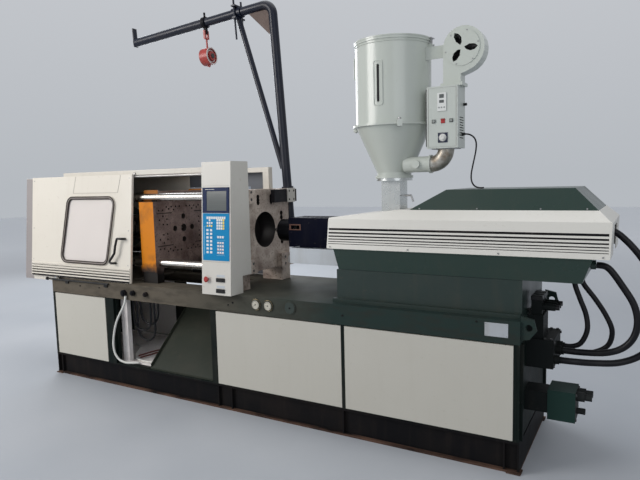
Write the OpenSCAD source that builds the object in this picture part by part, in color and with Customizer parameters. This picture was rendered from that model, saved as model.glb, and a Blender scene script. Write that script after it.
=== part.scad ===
// Horizontal injection moulding machine, open on the operator side.
// Origin: on the floor, on the centreline, below the mould face of the stationary platen.
// X runs from the clamp end to the injection end, -Y is the operator side, Z is up.

/* [Bed] */
// Length of the bed towards the clamp end
bed_left = 1895; // [1880:5:1960]
// Length of the bed towards the injection end
bed_right = 2245; // [2242:1:2300]
// Width of the bed over its side panels
bed_w = 900; // [880:5:960]
// Height of the channel skid
skid_h = 190; // [160:5:200]
// Flange thickness of the skid channels
skid_flange = 14; // [8:1:20]
// Height of the bed's top face
bed_top = 900; // [880:5:900]
// Height of the side rails of the bed
rail_h = 134; // [110:2:150]
// Depth of the folded side panels
panel_t = 20; // [12:1:30]

/* [Clamp unit] */
// Height of the machine axis above the floor
axis_z = 1342; // [1330:2:1360]
// Width of the platens
platen_w = 690; // [670:2:692]
// Height of the platens
platen_h = 640; // [620:5:650]
// Thickness of the stationary platen
platen_t = 200; // [180:5:220]
// Distance between the two mould faces at rest, fully open
daylight = 669; // [640:1:700]
// Opening stroke of the moving platen
clamp_stroke = 430; // [300:10:430]
// Sideways distance between the tie bars' centres
tie_y = 570; // [550:2:580]
// Upright distance between the tie bars' centres
tie_z = 544; // [530:2:556]
// Diameter of the tie bars
tie_d = 65; // [55:1:75]
// Diameter of the clamp ram
ram_d = 220; // [160:5:230]
// Diameter of the nozzle recess in the stationary platen
recess_d = 284; // [260:2:300]
// Diameter of the locating ring bore
locating_d = 125; // [100:1:160]
// Diameter of the tapped clamping holes
tap_d = 16; // [10:1:20]
// Travel of the ejector
ejector_stroke = 60; // [40:5:60]

/* [Guards] */
// Length of the sliding front gate
gate_l = 1329; // [1300:1:1340]
// Height of the sliding front gate
gate_h = 911; // [880:1:920]
// How far the gate leans back over its height
gate_lean = 84; // [70:1:90]
// Travel of both gates
gate_travel = 845; // [700:5:845]
// Sheet thickness of gates and guards
sheet = 3; // [2:0.5:4]

/* [Control panel] */
// Width of the control panel
control_w = 271; // [260:1:290]
// Height of the control panel
control_h = 974; // [940:1:990]
// Depth of the control panel at its foot
control_d = 148; // [140:1:160]

/* [Injection unit] */
// Travel of the injection carriage
carriage_travel = 260; // [150:5:260]
// Diameter of the plasticising barrel
barrel_d = 120; // [100:2:130]
// Diameter of the screw
screw_d = 45; // [35:1:50]
// Injection stroke of the screw
inject_stroke = 150; // [100:5:150]
// Length of the hood over the injection unit
hood_l = 1706; // [1690:1:1720]
// Width of the hood at its foot
hood_w = 808; // [806:1:830]
// Height of the hood's foot above the floor
hood_z = 1264; // [1262:1:1266]
// Width of the pedestal
pedestal_w = 700; // [660:5:720]

/* [Hopper dryer] */
// Place of the hopper along the machine
hopper_x = 1310; // [1300:1:1320]
// Diameter of the hopper
hopper_d = 512; // [500:2:520]
// Height of the hopper's straight wall
hopper_h = 551; // [500:5:560]
// Height of the hopper's cone
cone_h = 330; // [320:2:340]
// Height of the joint between cone and straight wall
hopper_joint_z = 2074; // [2070:1:2080]
// Diameter of the dryer's air duct
duct_d = 104; // [90:2:106]

/* [Jib crane] */
// Diameter of the crane tube
crane_d = 76; // [60:1:80]
// Reach of the crane arm
arm_l = 1620; // [1300:10:1650]
// Height of the arm above the bracket
arm_h = 1610; // [1500:5:1700]
// Lean of the crane towards the clamp end, in degrees
crane_lean = 3.7; // [0:0.1:6]

/* [Hidden] */
$fn = 48;

cream = [0.86, 0.84, 0.78];
green = [0.16, 0.23, 0.21];
steel = [0.62, 0.60, 0.57];
brown_steel = [0.42, 0.36, 0.33];
dark = [0.08, 0.08, 0.09];
hopper_grey = [0.78, 0.80, 0.78];
hose_black = [0.05, 0.05, 0.06];

seat = 0.3;
run = 0.05;
half = bed_w / 2;
rail_z = bed_top - rail_h;
rail_out = half + 5;
rail_in = half - 55;
floor_z = skid_h + 6;
drop_x0 = -1050;
drop_x1 = -40;
drop_w = 480;
chute_x0 = -704;
panel_z = skid_h + 7;
panel_top = rail_z - 8;
post_in = half - 50;
stop = 15;

ph = platen_h / 2;
pw = platen_w / 2;
plat_z0 = axis_z - ph;
plat_z1 = axis_z + ph;
move_x = -daylight;
move_t = 161;
face_t = 60;
eject_r = 155;
pin_at = [[0, 0], [0, 100], [0, -100], [-105, 0], [105, 0]];
tail_x = -1690;
tail_t = 160;
tie_r = tie_d / 2;
tie_x0 = tail_x - tail_t - 52;
tie_x1 = platen_t + 38;
cyl_r = 170;
cyl_x0 = tail_x - 490;
cyl_x1 = -1330;

gate_z = bed_top + 3;
gate_x1 = -877;
gate_x0 = gate_x1 - gate_l;
gate_y = -443;
gate_angle = atan(gate_lean / gate_h);
gate_flange = 20;
rear_x0 = gate_x0 + gate_travel + 6;
beam_z = bed_top + 903;
beam_h = 40;
beam_y = 270;
beam_w = 55;
wall_gap = 24;
win_u = [150, 150, 717, 717];
win_x = [gate_x0 + 443, gate_x0 + 1046, gate_x0 + 1133, gate_x0 + 535];

control_x = -26;
control_y = -520;
control_lean = 57;
control_angle = atan(control_lean / control_h);
key_z = 254;
key_h = 534;

tray_z = bed_top + 220;
tray_x0 = 1031;
tray_x1 = 2599;
hood_x = 984;
hood_x1 = hood_x + hood_l;
hood_top = hood_z + 254;
hood_sheet = 5;
barrel_x = 440;
block_x = 1205;
block_l = 210;
drive_x = 1800;
guard_x = 500;
guard_l = 341;
guard_w = 120;
guard_z0 = axis_z - 115;
guard_z1 = axis_z + 104;

hop_r = hopper_d / 2;
cone_z = hopper_joint_z - cone_h + 16;
throat_z0 = axis_z + 98;
throat_w = 136;
neck_r = 118;
dry_x = hopper_x + 291;
dry_y = -140;
dry_w = 200;
dry_d = 150;
dry_z = 1903;
dry_h = 387;
blow_x = hopper_x + 505;
blow_y = dry_y + 80;
blow_z = hopper_joint_z + 446;
elbow_r = 95;

crane_x = 168;
crane_y = pw + 54;
crane_z = 1600;
trolley_x = -735;

// A box between two corners
module box(x0, x1, y0, y1, z0, z1) {
    translate([x0, y0, z0]) cube([x1 - x0, y1 - y0, z1 - z0]);
}
// A profile drawn in Y and Z, pulled along X
module along_x(x0, x1, pts) {
    translate([x0, 0, 0]) rotate([90, 0, 90]) linear_extrude(x1 - x0) polygon(pts);
}
// A profile drawn in X and Z, pulled along Y
module along_y(y0, y1, pts) {
    translate([0, y1, 0]) rotate([90, 0, 0]) linear_extrude(y1 - y0) polygon(pts);
}
module cyl_x(x0, x1, y, z, r) {
    translate([x0, y, z]) rotate([0, 90, 0]) cylinder(r = r, h = x1 - x0);
}
module cyl_y(y0, y1, x, z, r) {
    translate([x, y1, z]) rotate([90, 0, 0]) cylinder(r = r, h = y1 - y0);
}
module cyl_z(z0, z1, x, y, r) {
    translate([x, y, z0]) cylinder(r = r, h = z1 - z0);
}
// A round bar between two points
module bar(p, q, r) {
    d = q - p;
    translate(p) rotate([0, acos(d[2] / norm(d)), atan2(d[1], d[0])]) cylinder(r = r, h = norm(d));
}
// A square-bent round bar through a list of points
module bent_bar(pts, r) {
    for (i = [0 : len(pts) - 2]) bar(pts[i], pts[i + 1], r);
    for (i = [1 : len(pts) - 2]) translate(pts[i]) sphere(r = r);
}
module both_sides() {
    children();
    mirror([0, 1, 0]) children();
}
// The four tie-bar places
module at_ties() {
    for (sy = [-1, 1], sz = [-1, 1]) translate([0, sy * tie_y / 2, axis_z + sz * tie_z / 2]) children();
}
// A polygon whose corners are rounded to radius r, as points
function corner(a, p, b, r, n = 5) =
    let (u = (a - p) / norm(a - p), v = (b - p) / norm(b - p),
         h = acos(u * v) / 2, t = r / tan(h), c = p + (u + v) / norm(u + v) * r / sin(h),
         s = p + u * t - c, e = p + v * t - c,
         a0 = atan2(s[1], s[0]), d = atan2(e[1], e[0]) - a0,
         w = d > 180 ? d - 360 : d < -180 ? d + 360 : d)
    [for (k = [0 : n]) c + r * [cos(a0 + w * k / n), sin(a0 + w * k / n)]];
function rounded(p, r) = [for (i = [0 : len(p) - 1])
    each corner(p[(i + len(p) - 1) % len(p)], p[i], p[(i + 1) % len(p)], r)];

// SKID AND BED
module channel() {
    box(-bed_left, bed_right, -half, -half + 70, 0, skid_flange);
    box(-bed_left, bed_right, -half, -half + 70, skid_h - skid_flange, skid_h);
    box(-bed_left, bed_right, -half + 25, -half + 35, 0, skid_h);
    for (x = [-bed_left, -bed_left + 60, 22, 150, 1100, bed_right - 90, bed_right - 10])
        box(x, x + 10, -half + 2, -half + 30, skid_flange, skid_h - skid_flange);
}
module skid() {
    color(dark) {
        difference() {
            both_sides() channel();
            for (x = [-1780, 2120], s = [-1, 1]) cyl_z(-1, skid_flange + 1, x, s * (half - 52), 11);
        }
        for (x = [-bed_left, -760, -35, 1090, bed_right - 70])
            box(x, x + 70, -half + 35, half - 35, 0, skid_h - skid_flange);
        both_sides() for (x = [-bed_left - 12, bed_right - 70])
            box(x, x + 82, -half - 12, -half + 60, 0, 8);
    }
}
module post(x0, x1) {
    box(x0, x1, -half, -post_in, floor_z, rail_z);
    box(x0 - stop, x1 + stop, -half + panel_t - 1, -post_in, floor_z, rail_z);
}
module top_rail() {
    difference() {
        box(-1720, bed_right - 13, -rail_out, -rail_in, rail_z, bed_top);
        box(-1712, bed_right - 20, -rail_out + 12, -rail_in + 1, rail_z + 12, bed_top - 20);
    }
}
module lifting_lug() {
    difference() {
        along_y(-half + 10, -half + 32, [[bed_right, 790], [bed_right + 48, 800], [bed_right + 86, 850],
            [bed_right + 70, 915], [bed_right, 930]]);
        cyl_y(-half + 9, -half + 33, bed_right + 44, 866, 20);
    }
}
module bed_frame() {
    color(green) {
        box(-bed_left, bed_right, -half, half, skid_h, floor_z);
        both_sides() {
            post(-bed_left, -bed_left + 35);
            post(-1191, -1092);
            post(-20, 37);
            post(1104, 1128);
            post(bed_right - 34, bed_right);
            top_rail();
            lifting_lug();
        }
        difference() {
            box(-bed_left, bed_right - 13, -rail_in, rail_in, bed_top - 20, bed_top);
            box(drop_x0, drop_x1, -drop_w / 2, drop_w / 2, bed_top - 21, bed_top + 1);
        }
        box(-bed_left, -bed_left + 35, -post_in, post_in, floor_z, bed_top - 20);
        box(-12, bed_right - 13, -post_in, post_in, floor_z, bed_top - 20);
        box(bed_right - 13, bed_right, -rail_out, rail_out, floor_z, bed_top);
        both_sides() box(-bed_left, -1720, -half, -rail_in + 12, rail_z, bed_top - 20);
    }
    color(cream) for (x = [421, 528]) difference() {
        cyl_y(-rail_out - 14, -rail_out, x, 843, 38);
        cyl_y(-rail_out - 15, -rail_out - 10, x, 843, 32);
    }
    color(green) cyl_y(-rail_out - 5, -rail_out, 711, 843, 48);
}
// A folded sheet panel, open at its back
module panel(x0, x1) {
    difference() {
        box(x0, x1, -half - 3, -half + panel_t - 3, panel_z, panel_top);
        box(x0 + 2, x1 - 2, -half - 1, -half + panel_t - 2, panel_z + 2, panel_top - 2);
    }
    for (z = [panel_z, panel_top - 30], x = [x0, x1 - 30])
        box(x, x + 30, -half + panel_t - 5, -half + panel_t - 1, z, z + 30);
}
module front_panel_left() { color(cream) panel(-bed_left + 37, -1193); }
module front_panel_mid() { color(cream) panel(39, 1102); }
module front_panel_right() { color(cream) panel(1130, bed_right - 36); }
module rear_panels() {
    color(cream) mirror([0, 1, 0]) {
        panel(-bed_left + 37, -1193);
        panel(39, 1102);
        panel(1130, bed_right - 36);
    }
}
// The part slope under the mould: a folded plate with two legs
module discharge_chute() {
    x0 = chute_x0;
    x1 = chute_x0 + 668;
    y0 = -half + 20;
    y1 = 42;
    z0 = floor_z + 7;
    z1 = floor_z + 436;
    rise = [[y0, z0], [y1, z1], [y1, z1 + 6], [y0, z0 + 6]];
    color(green) {
        along_x(x0, x1, rise);
        for (x = [x0, x1 - 5]) along_x(x, x + 5, [[y0, z0], [y1, z1], [y1, z1 + 34], [y0, z0 + 34]]);
        for (x = [x0 + 20, x1 - 60]) {
            along_x(x, x + 40, [[y1 - 46, floor_z], [y1 - 6, floor_z], [y1 - 6, z1 - 3], [y1 - 46, z1 - 39]]);
        }
        box(x0, x1, y0 - 3, y0 + 3, floor_z, z0 + 6);
    }
}
// A pale drip tray on the bed's floor, with a folded upright that carries the cables
module bay_tray() {
    x0 = -bed_left + 45;
    x1 = chute_x0 - 10;
    w = post_in - 18;
    up_x = -1090;
    up_y = -372;
    color([0.72, 0.71, 0.70]) {
        difference() {
            box(x0, x1, -w, w, floor_z, floor_z + 16);
            box(x0 + 3, x1 - 3, -w + 3, w - 3, floor_z + 3, floor_z + 17);
        }
        difference() {
            box(up_x, up_x + 75, up_y, up_y + 40, floor_z + 1, bed_top - 20);
            box(up_x + 3, up_x + 72, up_y + 3, up_y + 41, floor_z + 2, bed_top - 19);
        }
    }
}

// CLAMP UNIT
// Tapped holes of one quarter of a platen face, measured from its centre
tap_at = [[42, 188], [86, 188], [140, 188], [196, 188], [112, 162], [170, 170], [241, 162], [284, 162],
    [240, 112], [196, 85], [282, 81], [240, 43], [196, 40]];
groove = [137, 312, 133, 141];
module tap_grid(x) {
    for (sy = [-1, 1], sz = [-1, 1]) {
        for (p = tap_at) cyl_x(x, x + 30, sy * p[0], axis_z + sz * p[1], tap_d / 2);
        box(x, x + 7, min(sy * groove[0], sy * groove[1]), max(sy * groove[0], sy * groove[1]),
            axis_z + min(sz * groove[2], sz * groove[3]), axis_z + max(sz * groove[2], sz * groove[3]));
    }
}
module stationary_platen() {
    color(brown_steel) difference() {
        union() {
            box(0, platen_t, -pw, pw, plat_z0, plat_z1);
            both_sides() box(0, platen_t, -pw, -pw + 120, bed_top, plat_z0);
        }
        cyl_x(-1, platen_t + 1, 0, axis_z, locating_d / 2);
        cyl_x(40, platen_t + 1, 0, axis_z, recess_d / 2);
        at_ties() translate([-1, 0, 0]) rotate([0, 90, 0]) cylinder(r = tie_r + seat, h = platen_t + 2);
        tap_grid(-1);
        for (y = [-84, 94], dz = [-22, 0, 22]) cyl_x(70, platen_t + 1, y, axis_z + 238 + dz, 20);
        for (s = [-1, 1], u = [-1, 1], dz = [-18, 18])
            cyl_x(70, platen_t + 1, s * 235, axis_z + u * 100 + dz, 20);
    }
}
module moving_platen() {
    x1 = move_x;
    x0 = move_x - move_t;
    color([0.85, 0.42, 0.05]) difference() {
        union() {
            box(x1 - face_t, x1, -pw, pw, plat_z0, plat_z1);
            both_sides() {
                box(x0, x1, -pw, -pw + 26, plat_z0 - 22, plat_z1 - 62);
                box(x0 - 12, x1 + 4, -pw, -pw + 26, plat_z0 - 30, plat_z0 + 22);
                box(x0, x1, -pw + 10, -pw + 85, bed_top + seat, plat_z0 + 10);
            }
            at_ties() translate([x0, 0, 0]) rotate([0, 90, 0]) cylinder(r = 60, h = move_t);
            cyl_x(x0, x1, 0, axis_z, 185);
            for (s = [-1, 1]) {
                box(x0 + 20, x1, -20, 20, axis_z + min(s * 180, s * ph), axis_z + max(s * 180, s * ph));
                box(x0 + 20, x1, min(s * 180, s * pw), max(s * 180, s * pw), axis_z - 20, axis_z + 20);
            }
        }
        at_ties() translate([x0 - 1, 0, 0]) rotate([0, 90, 0]) cylinder(r = tie_r + run, h = move_t + 2);
        cyl_x(x0 - 1, x1 - face_t, 0, axis_z, eject_r);
        for (p = pin_at) cyl_x(x1 - face_t - 1, x1 + 1, p[0], axis_z + p[1], 24);
        cyl_x(x1 - 30, x1 + 1, 0, axis_z, 33);
        mirror([1, 0, 0]) tap_grid(-x1 - 1);
        box(x0 - 1, x1 + 1, -pw - 1, -tie_y / 2, plat_z1 - 84, plat_z1 + 40);
    }
}
module tail_platen() {
    color(dark) difference() {
        union() {
            box(tail_x - tail_t, tail_x, -pw, pw, plat_z0, plat_z1);
            both_sides() box(tail_x - tail_t, tail_x, -pw, -pw + 120, bed_top, plat_z0);
        }
        cyl_x(tail_x - tail_t - 1, tail_x + 1, 0, axis_z, cyl_r + seat);
        at_ties() translate([tail_x - tail_t - 1, 0, 0]) rotate([0, 90, 0])
            cylinder(r = tie_r + seat, h = tail_t + 2);
    }
}
module tie_bars() {
    color(steel) at_ties() translate([tie_x0, 0, 0]) rotate([0, 90, 0])
        cylinder(r = tie_r, h = tie_x1 - tie_x0);
}
// The clamp plates that hold the tie bars' ends, two bolts each
module tie_plate(x) {
    difference() {
        box(x, x + 40, -60, 117, -60, 48);
        translate([x - 1, 0, 0]) rotate([0, 90, 0]) cylinder(r = tie_r + seat, h = 42);
        for (z = [-27, 28]) translate([x + 25, 64, z]) rotate([0, 90, 0]) cylinder(r = 12, h = 16);
    }
}
module tie_bar_plates() {
    color(steel) for (x = [platen_t, tail_x - tail_t - 40], sy = [0, 1], sz = [0, 1])
        translate([0, (sy * 2 - 1) * tie_y / 2, axis_z + (sz * 2 - 1) * tie_z / 2])
            mirror([0, sy, 0]) mirror([0, 0, 1 - sz]) tie_plate(x);
}
module clamp_cylinder() {
    color(green) difference() {
        union() {
            cyl_x(cyl_x0, cyl_x1, 0, axis_z, cyl_r);
            cyl_x(tail_x, tail_x + 40, 0, axis_z, cyl_r + 35);
            cyl_x(cyl_x1 - 45, cyl_x1, 0, axis_z, cyl_r + 15);
        }
        cyl_x(cyl_x0 + 40, cyl_x1 - 60, 0, axis_z, ram_d / 2 + 4);
        cyl_x(cyl_x1 - 61, cyl_x1 + 1, 0, axis_z, ram_d / 2 + run);
    }
}
module clamp_ram() {
    x1 = move_x - move_t;
    color(steel) {
        cyl_x(cyl_x0 + 60, x1 - 20, 0, axis_z, ram_d / 2);
        cyl_x(x1 - 20, x1, 0, axis_z, 180);
    }
}
// The ejector plate and its five pins
module ejector() {
    x = move_x - move_t + 14;
    color(steel) {
        cyl_x(x, x + 16, 0, axis_z, eject_r - seat);
        for (p = pin_at) cyl_x(x + 16, move_x - 32, p[0], axis_z + p[1], 14);
    }
}

// GUARDS
module on_gate() {
    translate([0, gate_y, gate_z]) rotate([-gate_angle, 0, 0]) children();
}
function window_outline(grow) = rounded([for (i = [0 : 3])
    [win_x[i] + (i == 1 || i == 2 ? grow : -grow), win_u[i] + (i < 2 ? -grow : grow)]], 62 + grow);
module gate_sheet(l) {
    difference() {
        box(0, l, 0, gate_flange, 0, gate_h);
        box(sheet, l - sheet, sheet, gate_flange + 1, sheet, gate_h - sheet);
    }
}
module front_gate() {
    color(cream) {
        difference() {
            on_gate() {
                translate([gate_x0, 0, 0]) gate_sheet(gate_l);
                for (i = [0 : 4]) translate([gate_x0 + 8, 0, 14 + 24 * i])
                    along_x(0, gate_l - 16, [[0, 0], [-7, 3], [-7, 11], [0, 14]]);
                along_y(-10, 1, rounded([for (i = [0 : 3]) [win_x[i] + (i == 1 || i == 2 ? 14 : -14),
                    win_u[i] + (i < 2 ? -14 : 14)]], 76));
            }
            on_gate() along_y(-20, gate_flange + 2, window_outline(0));
        }
        for (x = [-1650, -950]) box(x, x + 40, gate_y + 4, gate_y + 18, bed_top + seat, gate_z + 1);
    }
}
module gate_window() {
    color([0.8, 0.85, 0.88, 0.5]) on_gate() along_y(1, 5, window_outline(-0.4));
}
module gate_handle() {
    out = -38;
    color(dark) on_gate() translate([gate_x1 - 192, 0, 155]) sweep(bends([[126, -0.3, 217], [126, out, 217],
        [66, out, 217], [46, out, 150], [38, out, 92], [-34, out, 8], [17, out, 8], [17, -0.3, 8]], 15), 10, 12);
}
module guide_rods() {
    color(steel) {
        cyl_x(-895, -30, -beam_y - beam_w - 5, beam_z - 14, 9);
        for (x = [-890, -50]) box(x, x + 20, -beam_y - beam_w - 8, -beam_y - beam_w, beam_z - 22, beam_z + 20);
    }
    color(dark) {
        cyl_x(-bed_left - 40, -1120, -rail_out - 11, bed_top - 14, 8);
        cyl_x(-bed_left - 52, -bed_left - 36, -rail_out - 11, bed_top - 14, 15);
        for (x = [-1690, -1180]) box(x, x + 40, -rail_out - 11, -rail_out, bed_top - 44, bed_top - 14);
    }
}
module rear_opening(y0, y1, gap) {
    box(rear_x0 + 180 + gap, rear_x0 + gate_l - 189 - gap, y0, y1, gate_z + 330 + gap, gate_z + gate_h - 131 - gap);
}
module rear_gate() {
    x0 = rear_x0;
    y = pw + 22;
    color(cream) {
        difference() {
            translate([x0, y + gate_flange, gate_z]) mirror([0, 1, 0]) gate_sheet(gate_l);
            rear_opening(y - 1, y + 40, 0);
        }
        for (x = [x0 + 60, x0 + gate_l - 100]) box(x, x + 40, y + 2, y + 14, bed_top + seat, gate_z + 1);
        bent_bar([[x0 + 90, y + gate_flange - 0.1, gate_z + 420], [x0 + 90, y + 56, gate_z + 420],
            [x0 + 90, y + 56, gate_z + 600], [x0 + 90, y + gate_flange - 0.1, gate_z + 600]], 8);
    }
}
module rear_window() {
    y = pw + 22 + gate_flange;
    color([0.65, 0.75, 0.85, 0.5]) rear_opening(y - 6, y - 2, 0.4);
}
// Fixed covers round the clamp end, and the two top beams
module guard_frame() {
    x0 = gate_x0 - 127;
    x1 = gate_x1 - 23;
    beam_x0 = tail_x - tail_t + 50;
    low_z = gate_z - 43;
    y0 = gate_y + wall_gap;
    y1 = y0 + (beam_z - gate_z) * gate_lean / gate_h;
    yr = pw + 10;
    color(cream) {
        along_x(x0, x1, [[y0, gate_z - 2], [y0 + 2, gate_z - 2], [y1 + 2, beam_z], [y1, beam_z]]);
        box(x0, x1, yr - 2, yr, gate_z - 2, beam_z);
        box(x0, x1, y1, yr, beam_z - 2, beam_z);
        along_x(x0, x0 + 2, [[y0, low_z], [yr, low_z], [yr, beam_z], [y1, beam_z]]);
        box(x0, -bed_left - 5, y0, y0 + 2, low_z, gate_z - 2);
        box(x0, -bed_left - 5, yr - 2, yr, low_z, gate_z - 2);
        both_sides() {
            box(beam_x0, 60, -beam_y - beam_w, -beam_y, beam_z, beam_z + beam_h);
            box(0, 60, -beam_y - beam_w, -beam_y, plat_z1, beam_z);
        }
        for (x = [beam_x0, x1 - 40]) box(x, x + 40, -beam_y, beam_y, beam_z, beam_z + 25);
        box(-bed_left + 5, -bed_left + 45, y0 + 2, y0 + 6, bed_top - 20, gate_z + 40);
        box(-1300, -1260, y0 + 2, y0 + 6, bed_top, gate_z + 40);
        for (x = [-1800, -1300]) box(x, x + 40, yr - 6, yr - 2, bed_top, gate_z + 40);
    }
}

// CONTROL PANEL
module on_panel() {
    translate([control_x, control_y, bed_top]) rotate([-control_angle, 0, 0]) children();
}
module control_box() {
    y0 = control_y;
    y1 = control_y + control_lean;
    yb = control_y + control_d;
    yu = -pw - 7;
    notch = 127;
    x1 = control_x + control_w;
    color(cream) difference() {
        union() {
            along_x(control_x, x1, [[y0, bed_top], [yb, bed_top], [yb, bed_top + notch],
                [yu, bed_top + notch], [yu, bed_top + control_h], [y1, bed_top + control_h]]);
            box(platen_t + 41, x1, yu - 1, yu + 90, bed_top + notch, bed_top + control_h);
            box(control_x + 40, platen_t - 20, yu - 1, -pw, plat_z1 - 200, plat_z1 - 120);
        }
        on_panel() {
            translate([54, -1, 112]) rotate([-90, 0, 0]) cylinder(r = 10.5, h = 40);
            for (u = [32, 112]) box(139.5, 216.5, -1, 22, u - 14.5, u + 14.5);
        }
    }
}
// Membrane keypad with its screen frame: raised key fields on one plate
module keypad() {
    w = control_w - 25;
    x = 14;
    u0 = key_z;
    frame_u = key_z + key_h - 188;
    color([0.05, 0.12, 0.30]) on_panel() difference() {
        box(x, x + w, -7, 0, frame_u, key_z + key_h);
        box(x + 39, x + w - 22, -8, -3, frame_u + 18, key_z + key_h - 26);
    }
    color([0.03, 0.42, 0.70]) on_panel() box(x, x + w, -4, 0, u0, frame_u);
    color("white") on_panel() {
        for (i = [0 : 9]) box(x + 37 + 18 * i, x + 51 + 18 * i, -5, -4, frame_u - 42, frame_u - 24);
        for (i = [0 : 6], k = [0 : 1]) box(x + 35 + 34 * k, x + 55 + 34 * k, -5, -4,
            u0 + 52 + 27 * i, u0 + 68 + 27 * i);
        for (i = [0 : 2], k = [0 : 3]) box(x + 137 + 22 * i, x + 153 + 22 * i, -5, -4,
            u0 + 50 + 24 * k, u0 + 66 + 24 * k);
        for (i = [0 : 3], k = [0 : 3]) box(x + 131 + 19 * i, x + 146 + 19 * i, -5, -4,
            u0 + 228 + 20 * k, u0 + 244 + 20 * k);
        for (i = [0 : 2]) box(x + 137 + 22 * i, x + 153 + 22 * i, -5, -4, u0 + 165, u0 + 181);
        for (p = [[0, 0], [-20, 0], [20, 0], [0, 20], [0, -20]])
            box(x + 59 + p[0], x + 73 + p[0], -5, -4, u0 + 268 + p[1], u0 + 282 + p[1]);
    }
}
module estop_button() {
    color([0.75, 0.12, 0.10]) on_panel() translate([54, 0, 112]) rotate([90, 0, 0]) {
        translate([0, 0, -20]) cylinder(r = 10, h = 32);
        translate([0, 0, 12]) cylinder(r1 = 16, r2 = 22, h = 8);
        translate([0, 0, 20]) cylinder(r1 = 22, r2 = 15, h = 7);
    }
}
module panel_switch(u) {
    color(dark) on_panel() box(140, 216, -8, 14, u - 14, u + 14);
}
module upper_switch() { panel_switch(112); }
module lower_switch() { panel_switch(32); }

// INJECTION UNIT
module pedestal() {
    p = pedestal_w / 2;
    color(green) {
        box(1029, bed_right - 10, -p, p, bed_top, tray_z - 2);
        both_sides() box(1012, bed_right - 14, -p - 34, -p, bed_top, bed_top + 24);
        both_sides() box(1029, bed_right - 10, -p + 60, -p + 110, tray_z - 2, tray_z - seat);
    }
}
function tray_side(o) = [[-352 + o, tray_z + o], [352 - o, tray_z + o],
    [398 - o, hood_z - 2 + o], [-398 + o, hood_z - 2 + o]];
function tray_front(o) = [[tray_x0 + 14 + o, tray_z + o], [tray_x1 - 52 - o, tray_z + o],
    [tray_x1 - o, hood_z - 2 + o], [tray_x0 + o, hood_z - 2 + o]];
module tray_form(o) {
    intersection() {
        along_x(tray_x0, tray_x1, tray_side(o));
        along_y(-400, 400, tray_front(o));
    }
}
module carriage_tray() {
    color(green) {
        difference() {
            tray_form(0);
            tray_form(6);
        }
        both_sides() box(tray_x0, tray_x1, -hood_w / 2, -390, hood_z - 6, hood_z);
        cyl_x(2572, 2600, -150, 1200, 26);
        for (p = [[2483, -80], [2520, -10]]) cyl_z(tray_z - 1.2, tray_z + 3, p[0], p[1], 20);
    }
}
// The pale folded tray below the barrel, fixed to the carriage
module front_shelf() {
    color([0.62, 0.64, 0.66]) difference() {
        box(590, tray_x0 + 2, -250, 250, tray_z + 4, hood_z - 28);
        box(596, tray_x0 - 4, -244, 244, tray_z + 10, hood_z - 27);
        box(589, 597, -guard_w - seat, guard_w + seat, guard_z0 - seat, hood_z - 26);
    }
}
function hood_side(o) = [[-hood_w / 2 + o, hood_z], [hood_w / 2 - o, hood_z],
    [hood_w / 2 - 33 - o, hood_top - 59], [302 - o, hood_top - o],
    [-302 + o, hood_top - o], [-hood_w / 2 + 33 + o, hood_top - 59]];
function hood_front(o) = [[hood_x + o, hood_z - 1], [hood_x1 - 6 - o, hood_z - 1],
    [hood_x1 - o, hood_top - 64], [hood_x1 - 69 - o / 2, hood_top - o],
    [hood_x + 476, hood_top - o], [hood_x + o, hood_top - 50 - o]];
module hood_form(o) {
    intersection() {
        along_x(hood_x, hood_x1, hood_side(o));
        along_y(-hood_w / 2, hood_w / 2, hood_front(o));
    }
}
// Cream hood with six long louvre grooves that get thinner downwards
module hood() {
    groove = [14, 11, 9, 7, 5, 4];
    drop = [0, 26, 49, 69, 86, 101];
    color(cream) difference() {
        hood_form(0);
        translate([0, 0, -1]) hood_form(hood_sheet);
        both_sides() for (i = [0 : 5]) {
            z = hood_top - 118 - drop[i];
            out = hood_w / 2 - 33 * (z - hood_z) / (hood_top - 59 - hood_z);
            box(hood_x + 8, hood_x1 - 14, -out - 20, -out + 3, z - groove[i], z);
        }
        box(hopper_x - throat_w / 2 - 8, hopper_x + throat_w / 2 + 8, -76, 76, hood_top - 60, hood_top + 1);
        box(hood_x - 1, hood_x + hood_sheet + 1, -132, 132, hood_z - 1, hood_z + 170);
        box(hood_x1 - 90, hood_x1 + 1, -150, 150, hood_z - 1, hood_z + 166);
    }
}
function cover_side(o) = [[-300 + o, hood_top], [300 - o, hood_top], [262 - o, hood_top + 124 - o],
    [-262 + o, hood_top + 124 - o]];
function cover_front(o) = [[1532 + 2 * o, hood_top], [2618 - 2 * o, hood_top],
    [2495 - o, hood_top + 124 - o], [1762 + o, hood_top + 124 - o]];
module cover_form(o) {
    intersection() {
        along_x(1532, 2618, cover_side(o));
        along_y(-300, 300, cover_front(o));
    }
}
module top_cover() {
    color(green) difference() {
        cover_form(0);
        translate([0, 0, -0.5]) cover_form(4);
    }
}
module barrel() {
    color(steel) difference() {
        union() {
            cyl_x(barrel_x, block_x, 0, axis_z, barrel_d / 2);
            cyl_x(barrel_x, barrel_x + 28, 0, axis_z, barrel_d / 2 + 12);
        }
        cyl_x(barrel_x - 1, block_x + 1, 0, axis_z, screw_d / 2 + 0.1);
    }
    color(dark) {
        for (x = [guard_x + 32, guard_x + 124, guard_x + 216, block_x - 335, block_x - 245]) difference() {
            cyl_x(x, x + 70, 0, axis_z, barrel_d / 2 + 6);
            cyl_x(x - 1, x + 71, 0, axis_z, barrel_d / 2 - 1);
        }
        difference() {
            cyl_x(barrel_x - 70, guard_x - seat, 0, axis_z, 85);
            cyl_x(barrel_x - 71, guard_x, 0, axis_z, 50);
        }
    }
}
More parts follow.
